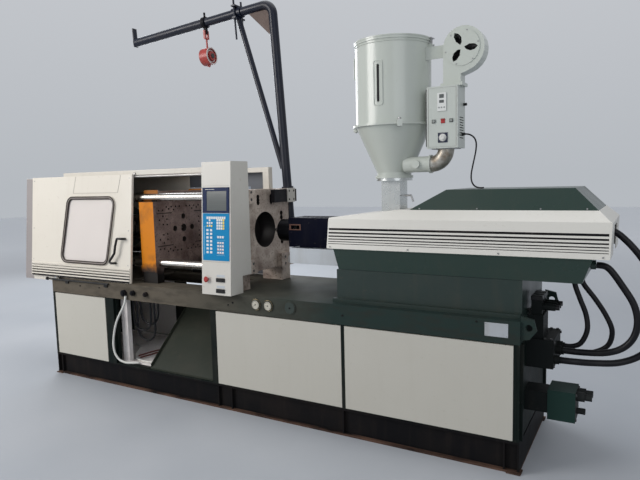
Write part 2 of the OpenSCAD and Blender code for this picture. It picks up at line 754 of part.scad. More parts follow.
module nozzle() {
    color(steel) difference() {
        union() {
            cyl_x(barrel_x - 42, barrel_x, 0, axis_z, 46);
            cyl_x(barrel_x - 118, barrel_x - 42, 0, axis_z, 24);
            translate([barrel_x - 140, 0, axis_z]) rotate([0, 90, 0]) cylinder(r1 = 9, r2 = 24, h = 22);
        }
        cyl_x(barrel_x - 141, barrel_x + 1, 0, axis_z, 4);
    }
}
// Sheet cover over the heater bands, slotted in its front
module heater_guard() {
    x1 = guard_x + guard_l;
    color([0.06, 0.07, 0.13]) difference() {
        union() {
            box(guard_x, x1, -guard_w, guard_w, guard_z0, guard_z1);
            box(guard_x + 8, guard_x + 108, -guard_w - 2, -guard_w, guard_z0 + 127, guard_z0 + 171);
        }
        box(guard_x + 3, x1 - 3, -guard_w + 3, guard_w - 3, guard_z0 + 3, guard_z1 - 3);
        cyl_x(guard_x - 1, x1 + 1, 0, axis_z, barrel_d / 2 + seat);
        box(guard_x + 22, guard_x + 98, -guard_w - 3, -guard_w + 4, guard_z0 + 134, guard_z0 + 163);
        for (i = [0 : 6], k = [0 : 1]) box(guard_x + 34 + 40 * i, guard_x + 60 + 40 * i,
            -60 + 66 * k, -6 + 66 * k, guard_z1 - 4, guard_z1 + 1);
    }
}
module screw() {
    x1 = drive_x - seat;
    color(steel) {
        translate([barrel_x + 180, 0, axis_z]) rotate([0, 90, 0])
            cylinder(r1 = 4, r2 = screw_d / 2 - 4, h = 40);
        cyl_x(barrel_x + 220, x1, 0, axis_z, screw_d / 2 - 5);
        for (x = [barrel_x + 240 : 44 : block_x + 60]) cyl_x(x, x + 8, 0, axis_z, screw_d / 2);
        cyl_x(block_x + 110, x1, 0, axis_z, screw_d / 2);
    }
}
module injection_block() {
    x1 = block_x + block_l;
    color([0.55, 0.56, 0.57]) difference() {
        union() {
            box(block_x, x1, -190, 190, tray_z + 6, throat_z0);
            for (s = [-1, 1]) cyl_x(x1, x1 + 190, s * 135, axis_z, 50);
            for (x = [1500, 2150]) box(x, x + 40, -190, 190, tray_z + 6, tray_z + 40);
            for (s = [-1, 1]) box(x1, 2190, s * 170 - 20, s * 170 + 20, tray_z + 6, tray_z + 36);
        }
        cyl_x(block_x - 1, x1 + 1, 0, axis_z, screw_d / 2 + 0.1);
        cyl_z(axis_z, throat_z0 + 1, hopper_x, 0, 40);
        for (s = [-1, 1]) cyl_x(x1 + 10, x1 + 191, s * 135, axis_z, 20 + run);
    }
}
module drive_plate() {
    color([0.45, 0.46, 0.48]) difference() {
        union() {
            box(drive_x, drive_x + 55, -195, 195, axis_z - 130, axis_z + 120);
            for (s = [-1, 1]) cyl_x(block_x + block_l + 175, drive_x, s * 135, axis_z, 20);
            cyl_x(drive_x + 55, drive_x + 300, 0, axis_z, 92);
            box(drive_x + 300, drive_x + 380, -70, 70, axis_z - 70, axis_z + 70);
            for (s = [-1, 1]) box(drive_x + 5, drive_x + 50, s * 170 - 18, s * 170 + 18,
                tray_z + 36 + seat, axis_z - 130);
        }
    }
}

// HOPPER DRYER
module hopper_throat() {
    w = throat_w / 2;
    z1 = cone_z - 38;
    color(hopper_grey) difference() {
        union() {
            box(hopper_x - w, hopper_x + w, -w, w, throat_z0, z1);
            cyl_z(z1 - 18, z1, hopper_x, 0, 125);
        }
        cyl_z(throat_z0 - 1, z1 + 1, hopper_x, 0, 45);
        box(hopper_x - 52, hopper_x + w + 1, -52.3, 52.3, 1599.7, 1606.3);
    }
}
module shutoff_plate() {
    w = throat_w / 2;
    color(dark) {
        box(hopper_x - 51, hopper_x + w + 24, -52, 52, 1600, 1606);
        bent_bar([[hopper_x + w + 24, -40, 1603], [hopper_x + w + 70, -40, 1603],
            [hopper_x + w + 86, -40, 1560]], 6);
    }
}
module hopper_body() {
    z0 = cone_z - 38;
    zt = hopper_joint_z + hopper_h;
    t = 3;
    color(hopper_grey) translate([hopper_x, 0, 0]) {
        difference() {
            rotate_extrude($fn = 96) polygon([[60, z0], [130, z0], [130, z0 + 18], [neck_r, z0 + 18],
                [neck_r, cone_z], [hop_r, hopper_joint_z - 6], [hop_r + 22, hopper_joint_z - 6],
                [hop_r + 22, hopper_joint_z + 8], [hop_r, hopper_joint_z + 8], [hop_r, zt - 14],
                [hop_r + 6, zt - 14], [hop_r + 6, zt], [hop_r - t, zt], [hop_r - t, hopper_joint_z],
                [neck_r - t, cone_z + 4], [60, cone_z + 4]]);
            for (z = [2225, 2447]) cyl_y(-hop_r - 10, -hop_r + 30, 0, z, 9);
            box(-9, 9, -hop_r - 10, -hop_r + 30, 2225, 2447);
        }
        for (a = [60, 180, 300]) rotate([0, 0, a])
            box(hop_r + 20, hop_r + 44, -16, 16, hopper_joint_z - 22, hopper_joint_z + 22);
        sweep(bends([[-hop_r + 1, 0, 2580], [-hop_r - 36, 0, 2566], [-hop_r - 36, 0, 2420],
            [-hop_r + 1, 0, 2406]], 14), 6, 12);
        box(-30, 30, hop_r - 1.5, hop_r + 16, zt - 60, zt - 16);
        for (s = [-1, 1]) box(s * 24 - 6, s * 24 + 6, hop_r + 12, hop_r + 40, zt - 40, zt + 20);
        cyl_x(-24, 24, hop_r + 28, zt + 12, 5);
        for (s = [-1, 1]) box(hop_r - 1.5, hop_r + 30, s * 18 - 3, s * 18 + 3, zt - 60, zt - 36);
        cyl_y(-18, 18, hop_r + 22, zt - 48, 4);
    }
}
module hopper_lid() {
    z = hopper_joint_z + hopper_h + 1;
    r = hop_r + 8;
    color(hopper_grey) translate([hopper_x, 0, 0]) {
        rotate_extrude($fn = 96) polygon([[0, z + 40], [r - 60, z + 24], [r - 6, z + 10], [r, z + 8],
            [r, z - 0.7], [0, z - 0.7]]);
        cyl_z(z + 30, z + 58, 0, 0, 40);
        difference() {
            union() {
                box(-17, 17, r - 12, hop_r + 28, z, z + 8);
                cyl_x(-17, 17, hop_r + 28, z + 11, 9);
            }
            cyl_x(-18, 18, hop_r + 28, z + 11, 5 + run);
        }
    }
}
// Toggle latch that holds the lid
module lid_latch() {
    z = hopper_joint_z + hopper_h;
    x = hopper_x + hop_r;
    color(steel) {
        difference() {
            union() {
                box(x + 14, x + 20, -12, 12, z - 48, z + 9);
                cyl_y(-12, 12, x + 22, z - 48, 8);
            }
            cyl_y(-13, 13, x + 22, z - 48, 4 + run);
        }
        box(x + 9, x + 20, -12, 12, z + 2, z + 9);
        box(x + 20, x + 34, -12, 12, z - 4, z + 1);
    }
}
// Heat-stained steel elbow from the heater box down into the cone
module air_elbow() {
    y = dry_y + dry_d / 2;
    x = dry_x + 99;
    r = duct_d / 2;
    zc = dry_z - elbow_r;
    slope = (hop_r - neck_r) / (hopper_joint_z - 6 - cone_z);
    color([0.60, 0.56, 0.50]) difference() {
        union() {
            translate([x - elbow_r, y, dry_z]) rotate([90, 0, 0]) rotate([0, 0, -90])
                rotate_extrude(angle = 90) translate([elbow_r, 0]) circle(r = r);
            cyl_x(hopper_x + neck_r - 10, x - elbow_r, y, zc, r);
            cyl_x(x - elbow_r - 14, x - elbow_r, y, zc, r + 8);
            cyl_y(y - r - 14, y - r + 6, hopper_x + neck_r + 85, zc, 26);
        }
        translate([hopper_x, 0, cone_z - 60]) cylinder(r1 = neck_r + seat - slope * 60,
            r2 = neck_r + seat + slope * 240, h = 300, $fn = 96);
        translate([hopper_x, 0, cone_z - 60]) cylinder(r = neck_r + seat, h = 61, $fn = 96);
    }
}
module dryer_box() {
    x1 = dry_x + dry_w;
    y1 = dry_y + dry_d;
    color(hopper_grey) {
        difference() {
            box(dry_x, x1, dry_y, y1, dry_z, dry_z + dry_h);
            box(dry_x + 4, x1 - 4, dry_y - 1, y1 - 4, dry_z + 4, dry_z + dry_h - 4);
            for (i = [0 : 8]) box(x1 - 5, x1 + 1, dry_y + 30, y1 - 30, dry_z + 60 + 16 * i, dry_z + 66 + 16 * i);
        }
        for (z = [dry_z + 12, dry_z + dry_h - 19]) {
            cyl_z(z, z + 7, dry_x - 4, dry_y - 6, 3.6);
            box(dry_x - 7.6, dry_x - 4, dry_y - 6, dry_y + 8, z, z + 7);
            box(dry_x - 7.6, dry_x + 1, dry_y + 0.5, dry_y + 8, z, z + 7);
        }
        cyl_z(dry_z + 14, dry_z + dry_h - 14, dry_x - 4, dry_y - 6, 2.5);
        difference() {
            box(hopper_x + 200, dry_x, dry_y + 90, dry_y + 96, dry_z + 200, dry_z + 360);
            translate([hopper_x, 0, dry_z]) cylinder(r = hop_r + seat, h = 400, $fn = 96);
        }
    }
}
module dryer_door() {
    x0 = dry_x;
    color(hopper_grey) difference() {
        union() {
            box(x0, x0 + dry_w, dry_y - 12, dry_y - seat, dry_z, dry_z + dry_h);
            box(x0 + 70, x0 + 128, dry_y - 18, dry_y - 12, dry_z + 232, dry_z + 345);
            box(x0 + 74, x0 + 136, dry_y - 15, dry_y - 12, dry_z + 35, dry_z + 97);
            for (x = [35, 148]) box(x0 + x, x0 + x + 24, dry_y - 17, dry_y - 12, dry_z + 158, dry_z + 182);
        }
        cyl_y(dry_y - 20, dry_y, x0 + 105, dry_z + 66, 6.1);
        box(x0 + 93, x0 + 119, dry_y - 20, dry_y, dry_z + 155, dry_z + 185);
    }
    color(dark) difference() {
        union() {
            cyl_z(dry_z + 20, dry_z + dry_h - 20, x0 - 4, dry_y - 6, 5);
            box(x0 - 4, x0 + 6, dry_y - 11, dry_y - 8, dry_z + 20, dry_z + dry_h - 20);
        }
        cyl_z(dry_z + 19, dry_z + dry_h - 19, x0 - 4, dry_y - 6, 2.5 + run);
    }
}
module dryer_dial() {
    color("white") translate([dry_x + 105, dry_y - 15, dry_z + 66]) rotate([90, 0, 0]) difference() {
        union() {
            translate([0, 0, -14]) cylinder(r = 6, h = 15);
            translate([0, 0, seat]) cylinder(r1 = 24, r2 = 20, h = 9);
            translate([0, 0, 9]) cylinder(r = 13, h = 9);
        }
        translate([-2, 4, 15]) cube([4, 12, 4]);
    }
}
module dryer_rocker() {
    x = dry_x + 106;
    z = dry_z + 170;
    color([0.65, 0.08, 0.07]) {
        along_x(x - 12.7, x + 12.7, [[dry_y - 6, z - 13], [dry_y - 4, z], [dry_y - 6, z + 13],
            [dry_y - 19, z + 13], [dry_y - 15, z], [dry_y - 17, z - 13]]);
        cyl_x(x - 12.7, x + 12.7, dry_y - 6, z, 5.2);
    }
}
// Spiral outline of the blower housing, with the outlet pointing down
function spiral(o) = concat([for (a = [0 : 15 : 255]) let (r = 120 + 38 * a / 330 - o)
    [blow_x + r * cos(180 - a), blow_z + r * sin(180 - a)]],
    [[blow_x - 8 - o, blow_z - 160], [blow_x - 8 - o, dry_z + dry_h + 20], [blow_x - 120 + o, dry_z + dry_h + 20]]);
module swirl_cut(a) {
    translate([blow_x, 0, blow_z]) rotate([0, a, 0]) along_y(blow_y - 56, blow_y - 42,
        [[14, 6], [40, 30], [72, 38], [96, 30], [84, 6], [60, -8], [30, -6]]);
}
module blower_housing() {
    z0 = dry_z + dry_h;
    y0 = blow_y - 50;
    y1 = blow_y + 50;
    color(hopper_grey) difference() {
        union() {
            along_y(y0, y1, spiral(0));
            cyl_y(y0 - 4, y0 + 1, blow_x, blow_z, 112);
            cyl_y(y1, y1 + 128, blow_x, blow_z, 72);
            box(blow_x - 134, blow_x + 6, y0 - 10, y1 + 10, z0, z0 + 20);
            box(hopper_x + hop_r - 20, blow_x - 100, blow_y + 4, blow_y + 10, blow_z - 40, blow_z + 40);
        }
        along_y(y0 + 4, y1 - 4, spiral(4));
        for (a = [20, 140, 260]) swirl_cut(a);
        cyl_y(y1 - 5, y1 + 58, blow_x, blow_z, 9);
        translate([hopper_x, 0, blow_z - 60]) cylinder(r = hop_r + seat, h = 120, $fn = 96);
    }
}
module impeller() {
    y1 = blow_y + 50;
    color(steel) {
        cyl_y(y1 - 22, y1 - 16, blow_x, blow_z, 96);
        cyl_y(y1 - 72, y1 - 20, blow_x, blow_z, 20);
        cyl_y(y1 - 17, y1 + 56, blow_x, blow_z, 9 - run);
        for (i = [0 : 9]) translate([blow_x, 0, blow_z]) rotate([0, 36 * i, 0])
            box(60, 94, y1 - 82, y1 - 20, -2, 2);
    }
}

// JIB CRANE
module on_crane() {
    translate([crane_x, crane_y, crane_z]) rotate([0, -crane_lean, 0]) children();
}
module crane_bracket() {
    r = crane_d / 2;
    color(dark) difference() {
        union() {
            box(platen_t + 40, platen_t + 75, 36, pw + 16, crane_z - 46, crane_z + 56);
            box(crane_x - 45, platen_t + 75, pw + 2, pw + 16, crane_z - 46, crane_z + 56);
            on_crane() cyl_z(-58, 60, 0, 0, r + 14);
        }
        on_crane() cyl_z(-80, 80, 0, 0, r + run);
    }
    color(steel) difference() {
        box(platen_t + 75, platen_t + 87, 215, 320, crane_z - 50, crane_z + 65);
        for (y = [234, 301], z = [-28, 42]) cyl_x(platen_t + 83, platen_t + 88, y, crane_z + z, 9);
    }
}
module crane_jib() {
    r = crane_d / 2;
    bend = 90;
    clamp_x = -360;
    color([0.07, 0.08, 0.12]) on_crane() {
        cyl_z(-190, arm_h - bend, 0, 0, r);
        cyl_z(60 + seat, 76, 0, 0, r + 12);
        translate([-bend, 0, arm_h - bend]) rotate([90, 0, 0]) rotate_extrude(angle = 90)
            translate([bend, 0]) circle(r = r);
        cyl_x(-arm_l, -bend, 0, arm_h, r);
        box(-arm_l - 12, -arm_l, -24, 24, arm_h - r, arm_h + r + 100);
        bar([clamp_x, 0, arm_h - r + 6], [-r + 8, 0, 235], 24);
        cyl_x(clamp_x - 45, clamp_x + 45, 0, arm_h, r + 10);
        for (s = [-1, 1]) cyl_z(arm_h - 92, arm_h + 105, clamp_x, s * (r + 14), 9);
        box(clamp_x - 20, clamp_x + 20, -r - 30, r + 30, arm_h + r + 4, arm_h + r + 18);
        box(clamp_x - 20, clamp_x + 20, -r - 30, r + 30, arm_h - r - 18, arm_h - r - 4);
        cyl_z(arm_h - 235, arm_h - 90, clamp_x, -r - 14, 8);
        along_y(-4, 4, [[-r + 4, arm_h - 30], [-250, arm_h - 30], [-r + 4, arm_h - 262]]);
    }
}
module trolley() {
    r = crane_d / 2;
    x = trolley_x;
    color(dark) on_crane() {
        difference() {
            union() {
                cyl_x(x - 16, x + 16, 0, arm_h, r + 12);
                box(x - 14, x + 14, -12, 12, arm_h - r - 62, arm_h - r - 4);
                cyl_z(arm_h + r + 8, arm_h + r + 50, x, 0, 9);
            }
            cyl_x(x - 17, x + 17, 0, arm_h, r + seat);
            cyl_y(-13, 13, x, arm_h - r - 42, 9);
        }
    }
}
module hoist() {
    x = trolley_x;
    z = arm_h - crane_d / 2 - 42;
    color([0.7, 0.15, 0.12]) on_crane() {
        cyl_y(-30, 30, x, z, 8.7);
        for (s = [-1, 1]) box(x - 9, x + 9, s * 21 - 8, s * 21 + 8, z - 56, z + 10);
        box(x - 9, x + 9, -29, 29, z - 66, z - 56);
        cyl_z(z - 150, z - 66, x, 0, 8);
        difference() {
            cyl_x(x - 44, x + 44, 0, z - 222, 76);
            cyl_x(x + 32, x + 45, 0, z - 222, 64);
        }
        cyl_x(x + 30, x + 52, 0, z - 222, 40);
        difference() {
            cyl_y(-8, 8, x, z - 300, 14);
            cyl_y(-9, 9, x, z - 302, 7);
        }
    }
}

// HYDRAULICS
// Valve block on the end of the bed, with four hose ports
module manifold() {
    x = bed_right;
    ports = [[-220, 640], [-150, 680], [-80, 690], [-10, 640]];
    color([0.10, 0.11, 0.11]) {
        box(x, x + 150, -260, 40, 590, 760);
        box(x, x + 90, -240, -60, 760, 900);
        for (i = [0 : 2]) {
            box(x + 20, x + 80, -230 + 66 * i, -180 + 66 * i, 900, 985);
            cyl_x(x + 80, x + 150, -205 + 66 * i, 945, 20);
        }
        box(x, x + 127, -300, -150, 340, 460);
    }
    color(green) box(x + 127, x + 277, -305, -125, 305, 480);
    color(steel) {
        for (p = [[-250, 448], [-180, 448]]) {
            cyl_x(x + 277, x + 320, p[0], p[1], 27);
            cyl_x(x + 320, x + 358, p[0], p[1], 19);
        }
        cyl_x(x + 277, x + 322, -215, 350, 18);
        for (p = ports) {
            cyl_x(x + 150, x + 178, p[0], p[1], 26);
            cyl_x(x + 178, x + 190, p[0], p[1], 20);
        }
    }
}

// SWEPT TUBES: hoses and bent handles, each a closed tube of rings
function unit(v) = v / norm(v);
function tangent(p, i) = unit(p[min(i + 1, len(p) - 1)] - p[max(i - 1, 0)]);
function ring(c, f, r, n) = [for (k = [0 : n - 1])
    c + r * (cos(360 * k / n) * f[0] + sin(360 * k / n) * f[1])];
// Carries a cross direction along a path without twist, as two directions at each point
function carry(p, i, u) = i == len(p) ? [] : let (t = tangent(p, i), w = unit(u - (u * t) * t))
    concat([[w, cross(t, w)]], carry(p, i + 1, w));
function spline(p, m) = [for (i = [0 : len(p) - 2], k = [0 : m - 1])
    let (a = p[max(i - 1, 0)], b = p[i], c = p[i + 1], d = p[min(i + 2, len(p) - 1)], s = k / m)
    0.5 * (2 * b + (c - a) * s + (2 * a - 5 * b + 4 * c - d) * s * s
        + (3 * b - a - 3 * c + d) * s * s * s)];
// Rounds each inner corner of a path with five points on an arc of radius r
function bend_at(a, p, b, r) = let (u = unit(a - p), v = unit(b - p), h = acos(u * v) / 2,
    c = p + unit(u + v) * r / sin(h), s = p + u * r / tan(h) - c, w = unit(cross(s, -u)), q = cross(w, s))
    [for (k = [0 : 4]) let (g = (180 - 2 * h) * k / 4) c + cos(g) * s + sin(g) * q];
function bends(p, r) = concat([p[0]], [for (i = [1 : len(p) - 2]) each bend_at(p[i - 1], p[i], p[i + 1], r)],
    [p[len(p) - 1]]);
module sweep(q, r, n) {
    l = len(q);
    t0 = tangent(q, 0);
    frames = carry(q, 0, cross(t0, abs(t0[1]) > 0.9 ? [1, 0, 0] : [0.02, 1, 0.03]));
    rings = [for (i = [0 : l - 1]) each ring(q[i], frames[i], r, n)];
    sides = [for (i = [0 : l - 2], k = [0 : n - 1])
        [i * n + k, i * n + (k + 1) % n, (i + 1) * n + (k + 1) % n, (i + 1) * n + k]];
    caps = [[for (k = [0 : n - 1]) n - 1 - k], [for (k = [0 : n - 1]) (l - 1) * n + k]];
    polyhedron(rings, concat(caps, sides), convexity = 6);
}
module hose(pts, r) {
    color(hose_black) sweep(concat(spline(pts, 2), [pts[len(pts) - 1]]), r, 10);
}
hose_a_pts = [[2183, -60, 1352], [2260, -60, 1354], [2380, -60, 1368], [2580, -60, 1394], [2676, -60, 1388],
    [2750, -60, 1330], [2830, -60, 1230], [2910, -62, 1090], [2945, -66, 950], [2920, -74, 800],
    [2840, -90, 690], [2730, -115, 636], [2600, -165, 630], [2500, -217, 640], [2437, -220, 640]];
hose_b_pts = [[2602, -150, 1200], [2664, -150, 1184], [2740, -150, 1080], [2795, -150, 985],
    [2815, -150, 890], [2798, -150, 800], [2745, -150, 732], [2660, -150, 694], [2540, -150, 681],
    [2436, -150, 680]];
hose_c_pts = [[2483, -80, 1114], [2485, -80, 1066], [2515, -80, 980], [2548, -80, 890],
    [2556, -80, 800], [2525, -80, 720], [2480, -80, 693], [2436, -80, 690]];
hose_d_pts = [[2520, -10, 1114], [2523, -10, 1066], [2590, -10, 975], [2650, -10, 880],
    [2684, -10, 790], [2664, -10, 702], [2590, -10, 652], [2500, -10, 641], [2436, -10, 640]];
module hose_a() { hose(hose_a_pts, 19); }
module hose_b() { hose(hose_b_pts, 19); }
module hose_c() { hose(hose_c_pts, 15); }
module hose_d() { hose(hose_d_pts, 15); }

skid();
bed_frame();
front_panel_left();
front_panel_mid();
front_panel_right();
rear_panels();
discharge_chute();
bay_tray();
stationary_platen();
moving_platen();
tail_platen();
tie_bars();
tie_bar_plates();
clamp_cylinder();
clamp_ram();
ejector();
front_gate();
gate_window();
gate_handle();
guide_rods();
rear_gate();
rear_window();
guard_frame();
control_box();
keypad();
estop_button();
upper_switch();
lower_switch();
pedestal();
carriage_tray();
front_shelf();
hood();
top_cover();
barrel();
nozzle();
heater_guard();
screw();
injection_block();
drive_plate();
hopper_throat();
shutoff_plate();
hopper_body();
hopper_lid();
lid_latch();
air_elbow();
dryer_box();
dryer_door();
dryer_dial();
dryer_rocker();
blower_housing();
impeller();
crane_bracket();
crane_jib();
trolley();
hoist();
manifold();
hose_a();
hose_b();
hose_c();
hose_d();
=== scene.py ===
import math

import bmesh
import bpy
from mathutils import Matrix, Vector


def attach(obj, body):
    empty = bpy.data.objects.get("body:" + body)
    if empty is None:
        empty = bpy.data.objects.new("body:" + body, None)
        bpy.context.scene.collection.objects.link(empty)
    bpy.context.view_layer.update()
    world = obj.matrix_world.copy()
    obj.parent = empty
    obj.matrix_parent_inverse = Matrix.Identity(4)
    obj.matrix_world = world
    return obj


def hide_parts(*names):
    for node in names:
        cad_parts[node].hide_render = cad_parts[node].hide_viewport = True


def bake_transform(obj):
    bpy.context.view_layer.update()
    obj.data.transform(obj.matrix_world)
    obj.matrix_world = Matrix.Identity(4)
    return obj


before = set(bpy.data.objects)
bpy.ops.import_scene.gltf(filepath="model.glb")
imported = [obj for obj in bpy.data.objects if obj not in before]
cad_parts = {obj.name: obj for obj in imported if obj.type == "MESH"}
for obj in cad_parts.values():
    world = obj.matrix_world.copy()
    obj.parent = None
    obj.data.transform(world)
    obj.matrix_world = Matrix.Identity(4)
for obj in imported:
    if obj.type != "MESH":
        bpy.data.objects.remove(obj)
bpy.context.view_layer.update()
MM = 0.001

# Places and sizes of the CAD model that the finishes and pieces below sit on, in millimetres
axis_z = 1342
skid_flange = 14.2
rail_foot, rail_face, rail_middle = 766, -455, 843
gate_x0, gate_x1 = -2206, -877
gate_foot, gate_lean, gate_height = (0, -443, 903), 84, 911
panel_foot, panel_lean, panel_height = (-26, -520, 900), 57, 974
keypad_x, screen_foot, key_level = 14, 1501, 4.4
bore_low, bore_high = (4, -330, 1040), (198.5, 330, 1645)
mould_face, platen_top, recess_low, recess_high = -672, 1575, (-735, -325, 1050), (None, 325, 1630)
bar_y, bar_z = 285, 272
drum_end, band_r, guard_side, rod_foot = 441, 61, -120.3, 930
hood_x0, hood_x1 = 993, 2675
hood_side, hood_foot, hood_rise, hood_taper = 404, 1264, 195, 33
hopper_x, hopper_r, hopper_top = 1310, 256, 2596
joint_r, joint_z = 289, 2100
elbow_ring = 1605.2
dryer_x, dryer_z, dryer_w, dryer_h = 1601, 1903, 200, 387
door_face, controller_face, gland_x = -152, -157.8, 1800
blower_x, blower_z = 1815, 2520
valve_x, bracket_x = 2521.5, 275.2
crane_foot, crane_lean = (168, 399, 1600), 3.7
arm_z, arm_r = 1610, 38
trolley_x, trolley_h, hoist_drop = -735, 42, 222
ANY = (None, None, None)

# Camera
eye = (2.856, -3.730, 1.712)
yaw, pitch, roll = math.radians(30.011), math.radians(5.836), math.radians(-1.4187)
forward = Vector((-math.sin(yaw) * math.cos(pitch), math.cos(yaw) * math.cos(pitch), -math.sin(pitch)))
level = Vector((math.cos(yaw), math.sin(yaw), 0))
upward = level.cross(forward)
cam_x = math.cos(roll) * level + math.sin(roll) * upward
cam_y = -math.sin(roll) * level + math.cos(roll) * upward
cam_data = bpy.data.cameras.new("camera")
cam_data.sensor_width = 36
cam_data.lens = 32.23
camera = bpy.data.objects.new("camera", cam_data)
bpy.context.scene.collection.objects.link(camera)
columns = Matrix((cam_x, cam_y, -forward)).transposed().to_4x4()
camera.matrix_world = Matrix.Translation(eye) @ columns
bpy.context.scene.camera = camera


# Materials
def node(tree, kind, ins, **props):
    """A shader node whose inputs are linked to sockets or set to values."""
    n = tree.nodes.new("ShaderNode" + kind)
    for key, value in props.items():
        setattr(n, key, value)
    for key, value in ins.items():
        if isinstance(value, bpy.types.NodeSocket):
            tree.links.new(value, n.inputs[key])
        else:
            n.inputs[key].default_value = value
    return n


def math_node(tree, operation, a, b, clamp=False):
    """The result of a sum, a product or a test on two numbers."""
    return node(tree, "Math", {0: a, 1: b}, operation=operation, use_clamp=clamp).outputs[0]


def blend_color(tree, factor, a, b):
    """Colour a where the factor is 0 and colour b where it is 1."""
    n = node(tree, "Mix", {0: factor}, data_type="RGBA")
    for index, value in ((6, a), (7, b)):
        if isinstance(value, bpy.types.NodeSocket):
            tree.links.new(value, n.inputs[index])
        else:
            n.inputs[index].default_value = (*value, 1)
    return n.outputs[2]


def ramp(tree, value, low, high):
    """0 at low, 1 at high and straight in between."""
    return node(tree, "MapRange", {"Value": value, "From Min": low, "From Max": high}).outputs[0]


def noise(tree, vector, scale, detail, rough=0.55):
    """Cloudy values round 0.5; the scale counts clouds to the metre."""
    ins = {"Vector": vector, "Scale": scale, "Detail": detail, "Roughness": rough}
    return node(tree, "TexNoise", ins).outputs[0]


def axes(tree, vector):
    """The three numbers of a vector."""
    return node(tree, "SeparateXYZ", {0: vector}).outputs


def facing(tree):
    """The three numbers of the surface's outward direction."""
    return axes(tree, tree.nodes.new("ShaderNodeNewGeometry").outputs["Normal"])


def zone(tree, where, low, high):
    """1 inside a box given in millimetres (None leaves a side open), 0 outside."""
    spread = axes(tree, where)
    out = None
    for axis in range(3):
        for limit, operation in ((low[axis], "GREATER_THAN"), (high[axis], "LESS_THAN")):
            if limit is None:
                continue
            test = math_node(tree, operation, spread[axis], limit * MM)
            out = test if out is None else math_node(tree, "MULTIPLY", out, test)
    return out


def start(name):
    """An empty material with its tree, its shader and the place on the model in metres."""
    m = bpy.data.materials.new(name)
    m.use_nodes = True
    t = m.node_tree
    t.nodes.clear()
    shader = t.nodes.new("ShaderNodeBsdfPrincipled")
    out = t.nodes.new("ShaderNodeOutputMaterial")
    t.links.new(shader.outputs[0], out.inputs[0])
    where = t.nodes.new("ShaderNodeTexCoord").outputs["Object"]
    return m, t, shader, where


def scaled(tree, vector, size):
    """The vector stretched along each axis."""
    return node(tree, "Mapping", {"Vector": vector, "Scale": size}).outputs[0]


def coat(tree, shader, where, color, rough, metal, dirt, dirt_color, patch, fine, bump, spots):
    """Colour with broad patches, running streaks, small specks and a fine surface grain."""
    broad = noise(tree, where, patch, 5)
    runs = noise(tree, scaled(tree, where, (9, 9, 0.9)), 2.0, 6)
    speck = noise(tree, where, fine, 3)
    mix_amount = math_node(tree, "MULTIPLY", ramp(tree, broad, 0.45, 0.75), dirt)
    streak = math_node(tree, "MULTIPLY", ramp(tree, runs, 0.52, 0.8), dirt * 0.8)
    total = math_node(tree, "ADD", mix_amount, streak, True)
    if spots:
        small = ramp(tree, noise(tree, where, 38.0, 2, 0.4), 0.69, 0.73)
        total = math_node(tree, "MAXIMUM", total, math_node(tree, "MULTIPLY", small, spots))
    mixed = blend_color(tree, total, color, dirt_color)
    tree.links.new(mixed, shader.inputs["Base Color"])
    shift = math_node(tree, "MULTIPLY", math_node(tree, "SUBTRACT", broad, 0.5), 0.35)
    tree.links.new(math_node(tree, "ADD", shift, rough, True), shader.inputs["Roughness"])
    shader.inputs["Metallic"].default_value = metal
    raised = node(tree, "Bump", {"Height": speck, "Strength": bump, "Distance": 0.002}).outputs[0]
    tree.links.new(raised, shader.inputs["Normal"])
    return mixed


def paint(name, color, rough, metal, dirt, dirt_color, patch, fine, bump, spots=0.0):
    """A coat in one colour; patch and fine are the scales of the dirt and of the grain."""
    m, t, shader, where = start(name)
    coat(t, shader, where, color, rough, metal, dirt, dirt_color, patch, fine, bump, spots)
    return m


# Colours that several coats share
cream_color, panel_color = (0.66, 0.62, 0.545), (0.47, 0.455, 0.405)
hopper_color = (0.50, 0.53, 0.485)
dust, film = (0.42, 0.36, 0.28), (0.34, 0.30, 0.24)

# Coats: name, colour, roughness, metal, dirt, dirt colour, scales of dirt and grain, depth of grain, specks
cream = paint("cream_paint", cream_color, 0.42, 0, 0.12, dust, 1.4, 260, 0.08, 0.25)
box_cream = paint("box_paint", (0.56, 0.54, 0.495), 0.42, 0, 0.12, dust, 1.4, 260, 0.08, 0.25)
panel_cream = paint("panel_paint", panel_color, 0.5, 0, 0.12, (0.34, 0.31, 0.25), 1.2, 200, 0.06, 0.2)
hood_white = paint("hood_paint", (0.62, 0.605, 0.56), 0.38, 0, 0.10, (0.45, 0.42, 0.36), 1.2, 240, 0.06, 0.2)
green = paint("green_enamel", (0.020, 0.034, 0.030), 0.36, 0, 0.35,
              (0.055, 0.052, 0.040), 2.4, 150, 0.10, 0.3)
tray_green = paint("tray_enamel", (0.022, 0.043, 0.035), 0.30, 0, 0.25,
                   (0.05, 0.055, 0.042), 2.0, 150, 0.08, 0.2)
olive = paint("olive_enamel", (0.027, 0.032, 0.024), 0.5, 0, 0.25, (0.07, 0.06, 0.045), 2.2, 120, 0.10, 0.2)
black = paint("black_enamel", (0.009, 0.009, 0.011), 0.45, 0, 0.4, (0.060, 0.045, 0.035), 3.0, 90, 0.2, 0.4)
crane_paint = paint("crane_enamel", (0.010, 0.013, 0.024), 0.32, 0, 0.3,
                    (0.045, 0.038, 0.034), 4.0, 120, 0.1, 0.3)
hopper_white = paint("hopper_enamel", hopper_color, 0.22, 0, 0.10, (0.34, 0.34, 0.29), 2.0, 300, 0.04, 0.1)
chrome = paint("hard_chrome", (0.50, 0.48, 0.45), 0.27, 1.0, 0.45, (0.22, 0.18, 0.14), 6.0, 60, 0.03)
steel = paint("plain_steel", (0.36, 0.36, 0.36), 0.35, 1.0, 0.35, (0.16, 0.14, 0.12), 7.0, 90, 0.08)
dark_steel = paint("dark_steel", (0.060, 0.060, 0.062), 0.4, 0.5, 0.4, (0.04, 0.035, 0.03), 9.0, 120, 0.1)
